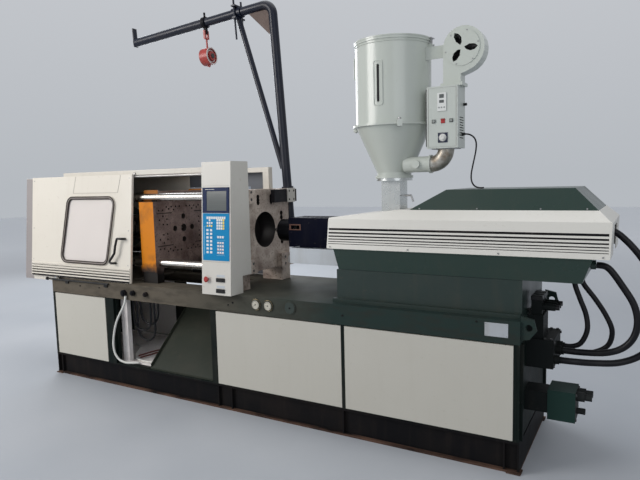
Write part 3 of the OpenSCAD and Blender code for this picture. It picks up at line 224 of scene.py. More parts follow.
pale_steel = paint("pale_steel", (0.46, 0.49, 0.52), 0.42, 0.4, 0.3, (0.28, 0.26, 0.23), 5.0, 90, 0.06, 0.2)
throat_steel = paint("throat_steel", (0.60, 0.62, 0.61), 0.24, 0.85, 0.2, (0.34, 0.33, 0.31), 5.0, 90, 0.04)
tray_paint = paint("tray_floor_paint", (0.80, 0.76, 0.74), 0.5, 0, 0.35,
                   (0.13, 0.10, 0.085), 4.0, 120, 0.1, 0.3)
rubber = paint("hose_rubber", (0.007, 0.007, 0.009), 0.38, 0, 0.3, (0.035, 0.033, 0.032), 12.0, 400, 0.15)
gasket = paint("gasket_rubber", (0.030, 0.022, 0.018), 0.5, 0, 0.3, (0.08, 0.06, 0.05), 10.0, 300, 0.1)
gasket_core = paint("gasket_core", (0.24, 0.21, 0.19), 0.5, 0, 0.3, (0.10, 0.08, 0.07), 10.0, 300, 0.1)
black_plastic = paint("black_plastic", (0.010, 0.010, 0.011), 0.35, 0, 0.2,
                      (0.05, 0.05, 0.05), 12.0, 500, 0.1)
worn_black = paint("worn_black", (0.010, 0.010, 0.011), 0.4, 0, 0.2, (0.10, 0.09, 0.08), 16.0, 300, 0.1, 0.4)
white_plastic = paint("white_plastic", (0.66, 0.66, 0.63), 0.35, 0, 0.15, (0.4, 0.38, 0.32), 14.0, 500, 0.05)
key_line = paint("key_line", (0.16, 0.42, 0.60), 0.4, 0, 0.15, (0.1, 0.3, 0.45), 14.0, 500, 0.03)
dial_cream = paint("dial_cream", (0.50, 0.475, 0.40), 0.35, 0, 0.25, (0.3, 0.26, 0.2), 30.0, 500, 0.05)
grey_plastic = paint("grey_plastic", (0.24, 0.26, 0.25), 0.4, 0, 0.15, (0.14, 0.14, 0.13), 14.0, 500, 0.05)
yellow_plastic = paint("yellow_plastic", (0.70, 0.55, 0.07), 0.4, 0, 0.1, (0.4, 0.3, 0.1), 14.0, 500, 0.05)
red = paint("red_plastic", (0.36, 0.025, 0.022), 0.3, 0, 0.2, (0.12, 0.02, 0.02), 14.0, 500, 0.05)
hoist_red = paint("hoist_red", (0.34, 0.035, 0.028), 0.4, 0, 0.4, (0.12, 0.04, 0.03), 14.0, 200, 0.1)
rust = paint("gusset_brown", (0.085, 0.050, 0.038), 0.6, 0, 0.4, (0.03, 0.02, 0.018), 8.0, 150, 0.2)
brass = paint("brass", (0.42, 0.34, 0.20), 0.3, 1.0, 0.3, (0.2, 0.14, 0.07), 14.0, 300, 0.05)
cable_red = paint("reddish_cable", (0.16, 0.045, 0.035), 0.5, 0, 0.3, (0.06, 0.03, 0.025), 20.0, 300, 0.1)


def zoned(name, color, zones, rough=0.4, metal=0.0, dirt=0.25, dirt_color=(0.10, 0.085, 0.07), patch=2.4,
          spots=0.25):
    """Enamel whose colour changes in given boxes; each zone is (low, high, colour)."""
    m, t, shader, where = start(name)
    mixed = coat(t, shader, where, color, rough, metal, dirt, dirt_color, patch, 150, 0.1, spots)
    for low, high, other in zones:
        mixed = blend_color(t, zone(t, where, low, high), mixed, other)
    t.links.new(mixed, shader.inputs["Base Color"])
    return m, t, shader, where, mixed


def split_by_facing(name, outer, inner):
    """Enamelled sheet whose faces that look forward, into the machine, have another colour."""
    m, t, shader, _, mixed = zoned(name, outer, [], 0.45, dirt=0.10, dirt_color=film)
    mixed = blend_color(t, math_node(t, "LESS_THAN", facing(t)[1], -0.5), mixed, inner)
    t.links.new(mixed, shader.inputs["Base Color"])
    return m


def bed_finish():
    """Near-black green posts, dark paint deepened with painted shade, and a rail that goes from brown-grey,
    painted light at the left end, to green towards the injection end.
    """
    # Painted shade: the posts and everything below the rail are near-black, darker than their green paint.
    m, t, shader, where, mixed = zoned("bed_enamel", (0.006, 0.010, 0.009), [], 0.6, dirt=0.2)
    along = math_node(t, "ADD", axes(t, where)[0], math_node(t, "MULTIPLY", noise(t, where, 3.0, 5), 0.8))
    # Painted light: the rail is a paler brown-grey at the left end and turns green towards the injection end.
    rail = blend_color(t, ramp(t, along, -0.1, 1.5), (0.105, 0.090, 0.070), (0.020, 0.034, 0.031))
    soil = ramp(t, noise(t, scaled(t, where, (3, 3, 9)), 2.5, 6), 0.45, 0.72)
    rail = blend_color(t, math_node(t, "MULTIPLY", soil, 0.5), rail, (0.030, 0.027, 0.022))
    mixed = blend_color(t, zone(t, where, (None, None, rail_foot), ANY), mixed, rail)
    t.links.new(mixed, shader.inputs["Base Color"])
    return m


def skid_finish():
    """Black channels with a rusty streak along the bottom flange."""
    m, t, shader, where, mixed = zoned("skid_enamel", (0.008, 0.008, 0.009), [], 0.5, dirt=0.25,
                                       dirt_color=(0.040, 0.030, 0.024), spots=0.1)
    low = zone(t, where, ANY, (None, None, skid_flange))
    patchy = ramp(t, noise(t, scaled(t, where, (1.2, 6, 6)), 3.0, 6), 0.35, 0.6)
    mixed = blend_color(t, math_node(t, "MULTIPLY", low, patchy), mixed, (0.105, 0.062, 0.045))
    t.links.new(mixed, shader.inputs["Base Color"])
    return m


def barrel_finish():
    """Steel barrel; the drum and the heater bands that stand out from it are black."""
    m, t, shader, where, mixed = zoned("barrel_steel", (0.34, 0.33, 0.32), [], 0.35, 0.8, patch=7.0)
    x, y, z = axes(t, where)
    z = math_node(t, "SUBTRACT", z, axis_z * MM)
    away = math_node(t, "ADD", math_node(t, "MULTIPLY", y, y), math_node(t, "MULTIPLY", z, z))
    band = math_node(t, "GREATER_THAN", away, (band_r * MM) ** 2)
    front = math_node(t, "LESS_THAN", x, drum_end * MM)
    mixed = blend_color(t, math_node(t, "MAXIMUM", band, front), mixed, (0.010, 0.010, 0.012))
    t.links.new(mixed, shader.inputs["Base Color"])
    return m


def machined(name, face, stain, rough):
    """Ground steel with brown oil stains, fine grinding lines and rust freckles."""
    m, t, shader, where = start(name)
    big = noise(t, where, 5.5, 8, 0.65)
    freckle = ramp(t, noise(t, where, 60.0, 3, 0.6), 0.56, 0.66)
    lines = noise(t, scaled(t, where, (3, 3, 260)), 2.0, 2)
    base = blend_color(t, ramp(t, big, 0.38, 0.66), face, stain)
    base = blend_color(t, math_node(t, "MULTIPLY", freckle, 0.55), base, (0.05, 0.035, 0.028))
    dull = math_node(t, "ADD", math_node(t, "MULTIPLY", big, 0.4), rough, True)
    t.links.new(dull, shader.inputs["Roughness"])
    raised = node(t, "Bump", {"Height": lines, "Strength": 0.08, "Distance": 0.001}).outputs[0]
    t.links.new(raised, shader.inputs["Normal"])
    return m, t, shader, where, base


def still_platen_finish():
    """Beige-brown ground steel; every bore wall and recess in it is painted black for the shade inside."""
    m, t, shader, where, base = machined("platen_steel", (0.56, 0.48, 0.41), (0.25, 0.19, 0.16), 0.36)
    # Painted shade: the walls of the bores and recesses inside this box are black and not metallic.
    inner = zone(t, where, bore_low, bore_high)
    t.links.new(blend_color(t, inner, base, (0.014, 0.012, 0.012)), shader.inputs["Base Color"])
    bare = math_node(t, "SUBTRACT", 1.0, inner)
    t.links.new(math_node(t, "MULTIPLY", bare, 0.35), shader.inputs["Metallic"])
    return m


def moving_platen_finish():
    """Brown ground face towards the mould, orange paint on the sides and back."""
    m, t, shader, where, base = machined("platen_face_and_orange", (0.36, 0.27, 0.24), (0.15, 0.10, 0.088),
                                         0.34)
    x, _, z = axes(t, where)
    on_face = math_node(t, "MULTIPLY", math_node(t, "GREATER_THAN", facing(t)[0], 0.6),
                        math_node(t, "GREATER_THAN", x, mould_face * MM))
    # The orange darkens in patches, on the top above platen_top and towards the bottom edge, where face and
    # orange both fade to near-black.
    dirty = ramp(t, noise(t, where, 7.0, 6), 0.55, 0.72)
    edge = math_node(t, "ADD", z, math_node(t, "MULTIPLY", noise(t, where, 16.0, 5), 0.12))
    low = ramp(t, edge, 1.13, 1.04)
    mix_amount = math_node(t, "MAXIMUM", math_node(t, "MULTIPLY", dirty, 0.35), low, True)
    top = zone(t, where, (None, None, platen_top), ANY)
    mix_amount = math_node(t, "MAXIMUM", mix_amount, math_node(t, "MULTIPLY", top, 0.5), True)
    orange = blend_color(t, mix_amount, (0.60, 0.19, 0.001), (0.03, 0.02, 0.015))
    # Painted shade: inside the central recess the walls are dark.
    recess_shade = zone(t, where, recess_low, recess_high)
    orange = blend_color(t, recess_shade, orange, (0.035, 0.028, 0.025))
    mix = blend_color(t, on_face, orange, base)
    mix = blend_color(t, low, mix, (0.012, 0.010, 0.009))
    t.links.new(mix, shader.inputs["Base Color"])
    t.links.new(math_node(t, "MULTIPLY", on_face, 0.55), shader.inputs["Metallic"])
    return m


def keypad_finish():
    """Blue membrane, white keys that stand out from the panel, and a navy screen frame at the top."""
    m, t, shader, where = start("keypad_membrane")
    _, y, z = axes(t, where)
    angle = math.atan(panel_lean / panel_height)
    forth = math_node(t, "MULTIPLY", math_node(t, "SUBTRACT", y, panel_foot[1] * MM), -math.cos(angle))
    above = math_node(t, "MULTIPLY", math_node(t, "SUBTRACT", z, panel_foot[2] * MM), math.sin(angle))
    height = math_node(t, "ADD", forth, above)
    soft = noise(t, where, 9.0, 4)
    blue = blend_color(t, soft, (0.001, 0.185, 0.40), (0.002, 0.23, 0.48))
    keys = blend_color(t, soft, (0.66, 0.68, 0.68), (0.75, 0.75, 0.72))
    upper = math_node(t, "GREATER_THAN", z, screen_foot * MM)
    color = blend_color(t, math_node(t, "GREATER_THAN", height, key_level * MM), blue, keys)
    color = blend_color(t, upper, color, (0.006, 0.016, 0.060))
    t.links.new(color, shader.inputs["Base Color"])
    t.links.new(ramp(t, soft, -0.6, 2.2), shader.inputs["Roughness"])
    return m


def clear_sheet(name, tint, alpha, rough):
    """Hazy see-through sheet."""
    m, t, shader, where = start(name)
    haze = noise(t, where, 3.0, 6)
    darker = tuple(c * 0.9 for c in tint)
    t.links.new(blend_color(t, ramp(t, haze, 0.3, 0.8), tint, darker), shader.inputs["Base Color"])
    cover = math_node(t, "ADD", math_node(t, "MULTIPLY", haze, 0.12), alpha, True)
    t.links.new(cover, shader.inputs["Alpha"])
    shader.inputs["Roughness"].default_value = rough
    return m


def stained_finish():
    """Heat-stained bend in straw and brown bands, and a painted straight stretch."""
    m, t, shader, where = start("stained_elbow")
    bands = noise(t, scaled(t, where, (14, 2, 14)), 1.4, 5)
    fine = noise(t, where, 30.0, 5)
    color = blend_color(t, ramp(t, bands, 0.35, 0.7), (0.46, 0.45, 0.41), (0.22, 0.17, 0.12))
    color = blend_color(t, ramp(t, fine, 0.5, 0.8), color, (0.52, 0.50, 0.45))
    painted = zone(t, where, ANY, (elbow_ring, None, None))
    color = blend_color(t, painted, color, hopper_color)
    t.links.new(color, shader.inputs["Base Color"])
    bare = math_node(t, "SUBTRACT", 1.0, painted)
    t.links.new(math_node(t, "MULTIPLY", bare, 0.6), shader.inputs["Metallic"])
    t.links.new(ramp(t, fine, -0.2, 1.6), shader.inputs["Roughness"])
    return m


def screen_finish():
    """Dull glass with faint lines."""
    m, t, shader, where = start("screen_glass")
    lines = noise(t, scaled(t, where, (2, 2, 160)), 1.0, 2)
    color = blend_color(t, lines, (0.085, 0.095, 0.095), (0.12, 0.13, 0.125))
    t.links.new(color, shader.inputs["Base Color"])
    shader.inputs["Roughness"].default_value = 0.12
    return m


platen_steel = still_platen_finish()
orange_platen = moving_platen_finish()
keypad_film = keypad_finish()
window_clear = clear_sheet("window_sheet", (0.92, 0.86, 0.82), 0.56, 0.12)
rear_clear = clear_sheet("rear_sheet", (0.42, 0.48, 0.56), 0.55, 0.10)
elbow_steel = stained_finish()
screen_glass = screen_finish()
bed_enamel = bed_finish()
skid_enamel = skid_finish()
barrel_steel = barrel_finish()
# The rear gate's faces that look into the machine are painted dark blue-grey for the shade inside the guard.
gate_paint_and_shade = split_by_facing("gate_paint_and_shade", cream_color, (0.115, 0.125, 0.145))
back_panel = split_by_facing("back_panel", panel_color, (0.75, 0.71, 0.68))
# The guard frame left of the gate, below 1800 mm, is painted grey-mauve for the shade it stands in.
guard_paint_and_shade = zoned("guard_paint_and_shade", (0.62, 0.585, 0.52), [
    (ANY, (gate_x0 - 1, None, 1800), (0.27, 0.245, 0.24))], dirt=0.12, dirt_color=film)[0]
guard_blue = zoned("guard_blue", (0.003, 0.004, 0.012), [
    (ANY, (None, guard_side, None), (0.16, 0.085, 0.065))], 0.35, dirt=0.08)[0]
bracket_paint = zoned("bracket_enamel", (0.009, 0.009, 0.011), [
    ((bracket_x, None, None), ANY, (0.44, 0.42, 0.38)),
    ((bracket_x, 224, 1560), (bracket_x + 11.4, 311, 1655), (0.02, 0.018, 0.016))], 0.45)[0]
# Below rod_foot the guide bar and its brackets are near-black, partly their dark paint and partly painted
# shade, so they read as the shade line under the gate.
rod_steel_and_shade = zoned("rod_steel_and_shade", (0.36, 0.35, 0.34), [
    (ANY, (None, None, rod_foot), (0.02, 0.02, 0.02))], 0.35, 0.7)[0]
door_paint = zoned("dryer_enamel", (0.49, 0.52, 0.485), [
    ((1674, None, 1937), (1738, door_face - 0.5, 2001), (0.010, 0.014, 0.040)),
    ((1670, None, 2134), (1730, door_face - 0.5, 2249), (0.66, 0.67, 0.65)),
    (ANY, (dryer_x - 0.5, None, None), (0.02, 0.02, 0.02))],
    0.32, dirt=0.12, dirt_color=(0.34, 0.34, 0.30))[0]
block_paint = zoned("valve_block", (0.010, 0.012, 0.012), [
    ((2372.5, None, None), (valve_x, None, 481), (0.016, 0.036, 0.031)),
    ((valve_x, None, None), ANY, (0.022, 0.024, 0.024))], 0.5, dirt=0.3, dirt_color=(0.03, 0.027, 0.024))[0]

# How much dark coats mirror head on; the shader's own value, 0.5, would turn them grey
shine = {
    skid_enamel: 0.03, guard_blue: 0.04, block_paint: 0.05, black: 0.06, bed_enamel: 0.08, barrel_steel: 0.1,
    bracket_paint: 0.1, keypad_film: 0.12, olive: 0.2, rubber: 0.2, gasket: 0.2, black_plastic: 0.2,
    crane_paint: 0.25, worn_black: 0.25, orange_platen: 0.25, platen_steel: 0.3, tray_green: 0.35,
    green: 0.35,
}
for material, level in shine.items():
    material.node_tree.nodes["Principled BSDF"].inputs["Specular IOR Level"].default_value = level

finish = {
    skid_enamel: ["skid"],
    bed_enamel: ["bed_frame"],
    panel_cream: ["front_panel_left", "front_panel_mid", "front_panel_right"],
    back_panel: ["rear_panels"],
    olive: ["discharge_chute"],
    tray_paint: ["bay_tray"],
    platen_steel: ["stationary_platen", "tie_bar_plates"],
    orange_platen: ["moving_platen"],
    chrome: ["tie_bars", "clamp_ram"],
    steel: ["ejector", "nozzle", "screw", "injection_block", "drive_plate", "shutoff_plate", "lid_latch"],
    black: ["trolley", "tail_platen"],
    green: ["pedestal", "clamp_cylinder"],
    cream: ["front_gate"],
    window_clear: ["gate_window"],
    worn_black: ["gate_handle"],
    rod_steel_and_shade: ["guide_rods"],
    gate_paint_and_shade: ["rear_gate"],
    rear_clear: ["rear_window"],
    guard_paint_and_shade: ["guard_frame"],
    box_cream: ["control_box"],
    keypad_film: ["keypad"],
    red: ["estop_button", "dryer_rocker"],
    black_plastic: ["upper_switch", "lower_switch"],
    tray_green: ["carriage_tray", "top_cover"],
    hood_white: ["hood"],
    pale_steel: ["front_shelf"],
    barrel_steel: ["barrel"],
    guard_blue: ["heater_guard"],
    throat_steel: ["hopper_throat"],
    hopper_white: ["hopper_body", "hopper_lid", "blower_housing"],
    dark_steel: ["impeller"],
    elbow_steel: ["air_elbow"],
    door_paint: ["dryer_box", "dryer_door"],
    white_plastic: ["dryer_dial"],
    bracket_paint: ["crane_bracket"],
    crane_paint: ["crane_jib"],
    hoist_red: ["hoist"],
    block_paint: ["manifold"],
}
for material, names in finish.items():
    for name in names:
        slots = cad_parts[name].data.materials
        slots.clear()
        slots.append(material)


# Mesh tools (millimetres)
def piece(name, bm, material, body, matrix=None, smooth=True, bevel=0.0):
    """An object from a mesh in millimetres; with a body it rides on that body."""
    bm.normal_update()
    bmesh.ops.recalc_face_normals(bm, faces=bm.faces)
    mesh = bpy.data.meshes.new(name)
    bm.to_mesh(mesh)
    bm.free()
    if matrix is not None:
        mesh.transform(matrix)
    mesh.transform(Matrix.Scale(MM, 4))
    mesh.materials.append(material)
    o = bpy.data.objects.new(name, mesh)
    bpy.context.scene.collection.objects.link(o)
    if bevel:
        mod = o.modifiers.new("edge", "BEVEL")
        mod.width = bevel * MM
        mod.segments = 2
        mod.limit_method = "ANGLE"
    if smooth:
        for p in mesh.polygons:
            p.use_smooth = True
        mesh.set_sharp_from_angle(angle=math.radians(35))
    if body:
        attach(o, body)
    return o


def around(count, first=0.0):
    """Evenly spaced angles of one full turn."""
    return [first + 2 * math.pi * i / count for i in range(count)]


def tilted(foot, lean, height):
    """The place of a sheet whose top stands back from its foot by the lean."""
    return Matrix.Translation(foot) @ Matrix.Rotation(-math.atan(lean / height), 4, "X")


def box(bm, x0, x1, y0, y1, z0, z1):
    """A block between two corners."""
    size = Vector((x1 - x0, y1 - y0, z1 - z0))
    made = bmesh.ops.create_cube(bm, size=1.0)["verts"]
    for v in made:
        v.co = Vector((x0, y0, z0)) + Vector((c + 0.5 for c in v.co)) * size


def rod(bm, p, q, r0, n, r1=None):
    """A round bar with n sides from p to q; a second radius makes it a cone."""
    p, q = Vector(p), Vector(q)
    turn = Vector((0, 0, 1)).rotation_difference(q - p).to_matrix().to_4x4()
    place = Matrix.Translation((p + q) / 2) @ turn
    bmesh.ops.create_cone(bm, cap_ends=True, segments=n, radius1=r0, radius2=r0 if r1 is None else r1,
                          depth=(q - p).length, matrix=place)


def tube(bm, pts, r, n, closed=False):
    """A round cord with n sides through the points; closed joins its ends."""
    pts = [Vector(p) for p in pts]
    count = len(pts)
    rings = []
    side = None
    for i, p in enumerate(pts):
        a = pts[(i - 1) % count] if closed or i else p
        b = pts[(i + 1) % count] if closed or i < count - 1 else p
        t = (b - a).normalized()
        if side is None:
            side = t.cross(Vector((0.13, 1, 0.07))).normalized()
        side = (side - t * side.dot(t)).normalized()
        other = t.cross(side)
        rings.append([bm.verts.new(p + (side * math.cos(w) + other * math.sin(w)) * r) for w in around(n)])
    for i in range(count if closed else count - 1):
        low, high = rings[i], rings[(i + 1) % count]
        for k in range(n):
            bm.faces.new((low[k], low[(k + 1) % n], high[(k + 1) % n], high[k]))
    if not closed:
        bm.faces.new(rings[0][::-1])
        bm.faces.new(rings[-1])


def spline(pts, steps=6):
    """A smooth line through the points with this many steps between two of them."""
    pts = [Vector(p) for p in pts]
    out = []
    for i in range(len(pts) - 1):
        a, b, c, d = pts[max(i - 1, 0)], pts[i], pts[i + 1], pts[min(i + 2, len(pts) - 1)]
        for k in range(steps):
            s = k / steps
            out.append(0.5 * (2 * b + (c - a) * s + (2 * a - 5 * b + 4 * c - d) * s * s
                              + (3 * b - a - 3 * c + d) * s ** 3))
    return out + [pts[-1]]


def round_loop(corners, r, y, steps=8):
    """A closed line in an upright plane at y, with its corners rounded to radius r."""
    out = []
    count = len(corners)
    for i, p in enumerate(corners):
        p = Vector(p)
        u = (Vector(corners[i - 1]) - p).normalized()
        v = (Vector(corners[(i + 1) % count]) - p).normalized()
        half = math.acos(max(-1, min(1, u.dot(v)))) / 2
        c = p + (u + v).normalized() * r / math.sin(half)
        begin = p + u * r / math.tan(half) - c
        end = p + v * r / math.tan(half) - c
        first = math.atan2(begin[1], begin[0])
        turn = (math.atan2(end[1], end[0]) - first + math.pi) % (2 * math.pi) - math.pi
        for k in range(steps + 1):
            w = first + turn * k / steps
            out.append((c[0] + r * math.cos(w), y, c[1] + r * math.sin(w)))
    return out


def strip(name, material, body, boxes, matrix=None, bevel=0.0):
    """Several thin boxes as one piece."""
    bm = bmesh.new()
    for b in boxes:
        box(bm, *b)
    piece(name, bm, material, body, matrix, False, bevel)


def dots(name, material, body, spots, matrix=None, n=24, bevel=0.6):
    """Several short rods as one piece: (start, end, radius)."""
    bm = bmesh.new()
    for p, q, r in spots:
        rod(bm, p, q, r, n)
    piece(name, bm, material, body, matrix, True, bevel)


def bead(name, material, body, line, r, n, matrix=None):
    """A round bead along a closed line."""
    bm = bmesh.new()
    tube(bm, line, r, n, True)
    piece(name, bm, material, body, matrix)


def cable(name, material, body, pts, r):
    """A cord of radius r through given points."""
    line = spline(pts)
    bm = bmesh.new()
    tube(bm, line, r, 12)
    o = piece(name, bm, material, body)


# Hydraulic hoses
hoses = {
    "hose_a": (19, [(2183, -60, 1352), (2260, -60, 1354), (2380, -60, 1368), (2580, -60, 1394),
                    (2676, -60, 1388), (2750, -60, 1330), (2830, -60, 1230), (2910, -62, 1090),
                    (2945, -66, 950), (2920, -74, 800), (2840, -90, 690), (2730, -115, 636),
                    (2600, -165, 630), (2500, -217, 640), (2437, -220, 640)]),
    "hose_b": (19, [(2602, -150, 1200), (2664, -150, 1184), (2740, -150, 1080), (2795, -150, 985),
                    (2815, -150, 890), (2798, -150, 800), (2745, -150, 732), (2660, -150, 694),
                    (2540, -150, 681), (2436, -150, 680)]),
    "hose_c": (15, [(2483, -80, 1114), (2485, -80, 1066), (2515, -80, 980), (2548, -80, 890),
                    (2556, -80, 800), (2525, -80, 720), (2480, -80, 693), (2436, -80, 690)]),
    "hose_d": (15, [(2520, -10, 1114), (2523, -10, 1066), (2590, -10, 975), (2650, -10, 880),
                    (2684, -10, 790), (2664, -10, 702), (2590, -10, 652), (2500, -10, 641),
                    (2436, -10, 640)]),
}
for name, (r, pts) in hoses.items():
    line = spline(pts)
    bm = bmesh.new()
    tube(bm, line, r, 16)
    hose = piece(name + "_hose", bm, rubber, None)
    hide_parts(name)
    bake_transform(hose)


# Front gate trim
gate = tilted(gate_foot, gate_lean, gate_height)
pane_x, pane_foot, pane_top = (443, 1046, 1133, 535), 150, 717


def window(grow):
    """The corners of the slanted window, moved outwards by grow."""
    low, high = pane_foot - grow, pane_top + grow
    return [(gate_x0 + pane_x[0] - grow, low), (gate_x0 + pane_x[1] + grow, low),
            (gate_x0 + pane_x[2] + grow, high), (gate_x0 + pane_x[3] - grow, high)]


for grow, depth, material in ((9, -11, gasket), (0, -9, gasket_core), (-9, -7, gasket)):
    bead(f"window_gasket_{grow + 9}", material, "gate", round_loop(window(grow), 62 + grow, depth), 5.5, 10,
         gate)
bands = ((1, 13.5), (28.5, 38), (52.5, 60), (76.5, 82), (100.5, 104))
strip("gate_bands", black, "gate", [(gate_x0 + 7, gate_x1 - 7, -1.4, 0.3, low, high) for low, high in bands],
      gate)
dots("gate_seams", gasket_core, "gate",
     [((-1585, -0.6, 908), (-1618, -0.6, 760), 1.4), ((-1618, -0.6, 760), (-1044, -0.6, 760), 1.2),
      ((-1044, -0.6, 760), (-1010, -0.6, 908), 1.2)], gate, 8, 0)
dots("gate_screws", steel, "gate",
     [((x, -1.6, u), (x, 0.3, u), 5) for x in (gate_x0 + 30, gate_x1 - 30) for u in (150, 440, 880)],
     gate, 16, 0.5)

# Hood and covers
louvre_top = 1400
lines = []
for drop, height in zip((0, 26, 49, 69, 86, 101), (14, 11, 9, 7, 5, 4)):
    z = louvre_top - drop
    side = hood_side - hood_taper * (z - hood_foot) / hood_rise
    for s in (-1, 1):
        y0, y1 = sorted((s * (side - 1.2), s * (side - 3.3)))
        lines.append((hood_x0, hood_x1, y0, y1, z - height + 0.3, z - 0.3))
strip("hood_louvres", black, "carriage", lines)
dots("hood_screws", steel, "carriage",
     [((x, s * hood_side, 1276), (x, s * (hood_side + 2.5), 1276), 5)
      for x in (1010, 1560, 2110, 2650) for s in (-1, 1)], None, 16, 0.5)
dots("cover_screws", steel, "carriage",
     [((x, s * 297.4, 1526), (x, s * 301, 1526.8), 4.5) for x in (1600, 1960, 2320, 2560) for s in (-1, 1)],
     None, 16, 0.4)

# Control panel
panel = tilted(panel_foot, panel_lean, panel_height)
strip("screen_pane", screen_glass, "machine", [(53.5, 237.5, -5.2, -3.1, 618.5, 761.5)], panel, 0.8)
strip("screen_strip", white_plastic, "machine", [(40, 128, -7.5, -6.9, 773, 775.5)], panel)
keys = [(188, 203, 482 + 20 * k, 498 + 20 * k) for k in range(4)] + [(78, 91, 500, 514), (40, 52, 500, 514)]
strip("yellow_keys", yellow_plastic, "machine",
      [(keypad_x + x0, keypad_x + x1, -5.7, -4.9, u0, u1) for x0, x1, u0, u1 in keys], panel, 0.3)
rims = [(keypad_x + 139 + 22 * i, 305 + 24 * k) for i in range(3) for k in range(4)]
strip("key_rims", red, "machine", [(x, x + 12, -5.6, -4.9, u, u + 3) for x, u in rims], panel)
frames = ((26, 30, 296, 500), (28, 96, 502, 504), (146, 222, 292, 294), (146, 222, 402, 404),
          (150, 222, 430, 432))
strip("key_frames", key_line, "machine", [(x0, x1, -4.7, -3.9, u0, u1) for x0, x1, u0, u1 in frames], panel)
strip("switch_plates", pale_steel, "machine",
      [(141, 215, -1.0, 0.3, u, u + 19) for u in (52, 132)], panel, 0.3)
strip("box_seams", gasket_core, "machine",
      [(12, 259, -0.5, 0.3, 242, 243.5), (12, 259, -0.5, 0.3, 800, 801)], panel)


# Bed rail
def gauge(k, x, turned):
    """A pressure gauge's face, ticks with needle, and rim; the needle is turned in degrees."""
    place = Matrix.Translation((x, -465.2, rail_middle))
    dots(f"gauge_face_{k}", dial_cream, "machine", [((0, 0, 0), (0, -1.2, 0), 31.5)], place, 48, 0)
    ticks = bmesh.new()
    for i in range(19):
        a = math.radians(-135 + 15 * i)
        inner = 21 if i % 3 == 0 else 24
        rod(ticks, (math.sin(a) * inner, -1.4, math.cos(a) * inner),
            (math.sin(a) * 28, -1.4, math.cos(a) * 28), 0.8, 6)
    a = math.radians(turned)
    rod(ticks, (-math.sin(a) * 7, -2.2, -math.cos(a) * 7), (math.sin(a) * 22, -2.2, math.cos(a) * 22),
        1.1, 8, 0.5)
    rod(ticks, (0, -1, 0), (0, -3.2, 0), 4, 16)
    piece(f"gauge_ticks_{k}", ticks, black_plastic, "machine", place)
    dots(f"gauge_rim_{k}", brass, "machine", [((0, 4.8, 0), (0, 3.2, 0), 41)], place, 48, 0.5)


gauge(0, 421, -120)
gauge(1, 528, -90)
plug_x = 711
dots("rail_plug", green, "machine", [((plug_x, -460, rail_middle), (plug_x, -463, rail_middle), 40)],
     None, 48, 1.2)
screws = ((plug_x, -466, rail_middle, 6), (208, -459.5, 838, 6), (164, -459.5, 818, 5),
          (2000, -459.5, 880, 5), (1120, -459.5, 830, 6), (-1500, -459.5, 845, 6), (-1250, -459.5, 845, 6))
dots("rail_screws", black, "machine",
     [((x, y, z), (x, rail_face + 1, z), r) for x, y, z, r in screws], None, 16)
strip("rail_plate", pale_steel, "machine",
      [(2048, 2180, rail_face - 1.6, rail_face + 0.2, 802, 882)], None, 0.4)
dots("rail_plate_rivets", steel, "machine",
     [((x, rail_face - 3, z), (x, rail_face - 1, z), 2.6) for x in (2055, 2173) for z in (809, 875)],
     None, 12, 0.3)
fittings = ((-938, 823, 27), (-831, 831, 22), (-682, 831, 20))
dots("rail_fittings", black, "machine",
     [((x, -478, z), (x, rail_face + 0.4, z), r) for x, z, r in fittings]
     + [((x, -488, z), (x, -478, z), r * 0.6) for x, z, r in fittings], bevel=1.5)
dots("lug_bolts", dark_steel, "machine",
     [((x, s * 418, z), (x, s * 412, z), 9) for x, z in ((2268, 822), (2262, 905)) for s in (-1, 1)],
     None, 6, 0.8)

# Hoses and cables in the bed
cable("drain_hose", white_plastic, "machine",
      [(-912, -470, 800), (-930, -471, 735), (-968, -472, 675), (-1010, -472, 618), (-1046, -471, 556),
       (-1072, -470, 490), (-1090, -470, 420), (-1096, -470, 352), (-1084, -468, 290), (-1046, -462, 240),
       (-992, -446, 216), (-936, -424, 212), (-880, -396, 212)], 9)
cable("tray_hose", white_plastic, "machine",
      [(-1466, -16, 207), (-1402, 10, 207), (-1336, 12, 207), (-1268, -22, 207), (-1212, -84, 207),
       (-1166, -150, 207), (-1086, -246, 207), (-985, -312, 207), (-870, -330, 207), (-790, -314, 207)], 8)
cable("floor_cable_0", cable_red, "machine",
      [(-1059, -234, 206), (-1049, -170, 206), (-1042, -92, 206), (-1019, -4, 206), (-1010, 80, 206)], 7)
cable("floor_cable_1", cable_red, "machine",
      [(-1003, -265, 206), (-988, -186, 206), (-980, -108, 206), (-966, -56, 206), (-950, 60, 206)], 7)
for k, (x, y, low) in enumerate(((-1010, -310, 470), (-985, -290, 380), (-960, -272, 520))):
    middle = (low + 1010) / 2
    cable(f"loom_{k}", rubber, "machine",
          [(x, y, 878), (x, y + 2, middle), (x, y + 3, low + 160), (x, y + 4, low + 96),
           (x + 13, y + 6, low + 48), (x + 48, y + 8, low + 13), (x + 96, y + 10, low),
           (x + 144, y + 12, low + 13), (x + 179, y + 14, low + 48), (x + 192, y + 16, low + 96),
           (x + 192, y + 17, low + 160), (x + 192, y + 18, middle), (x + 192, y + 20, 878)], 9)

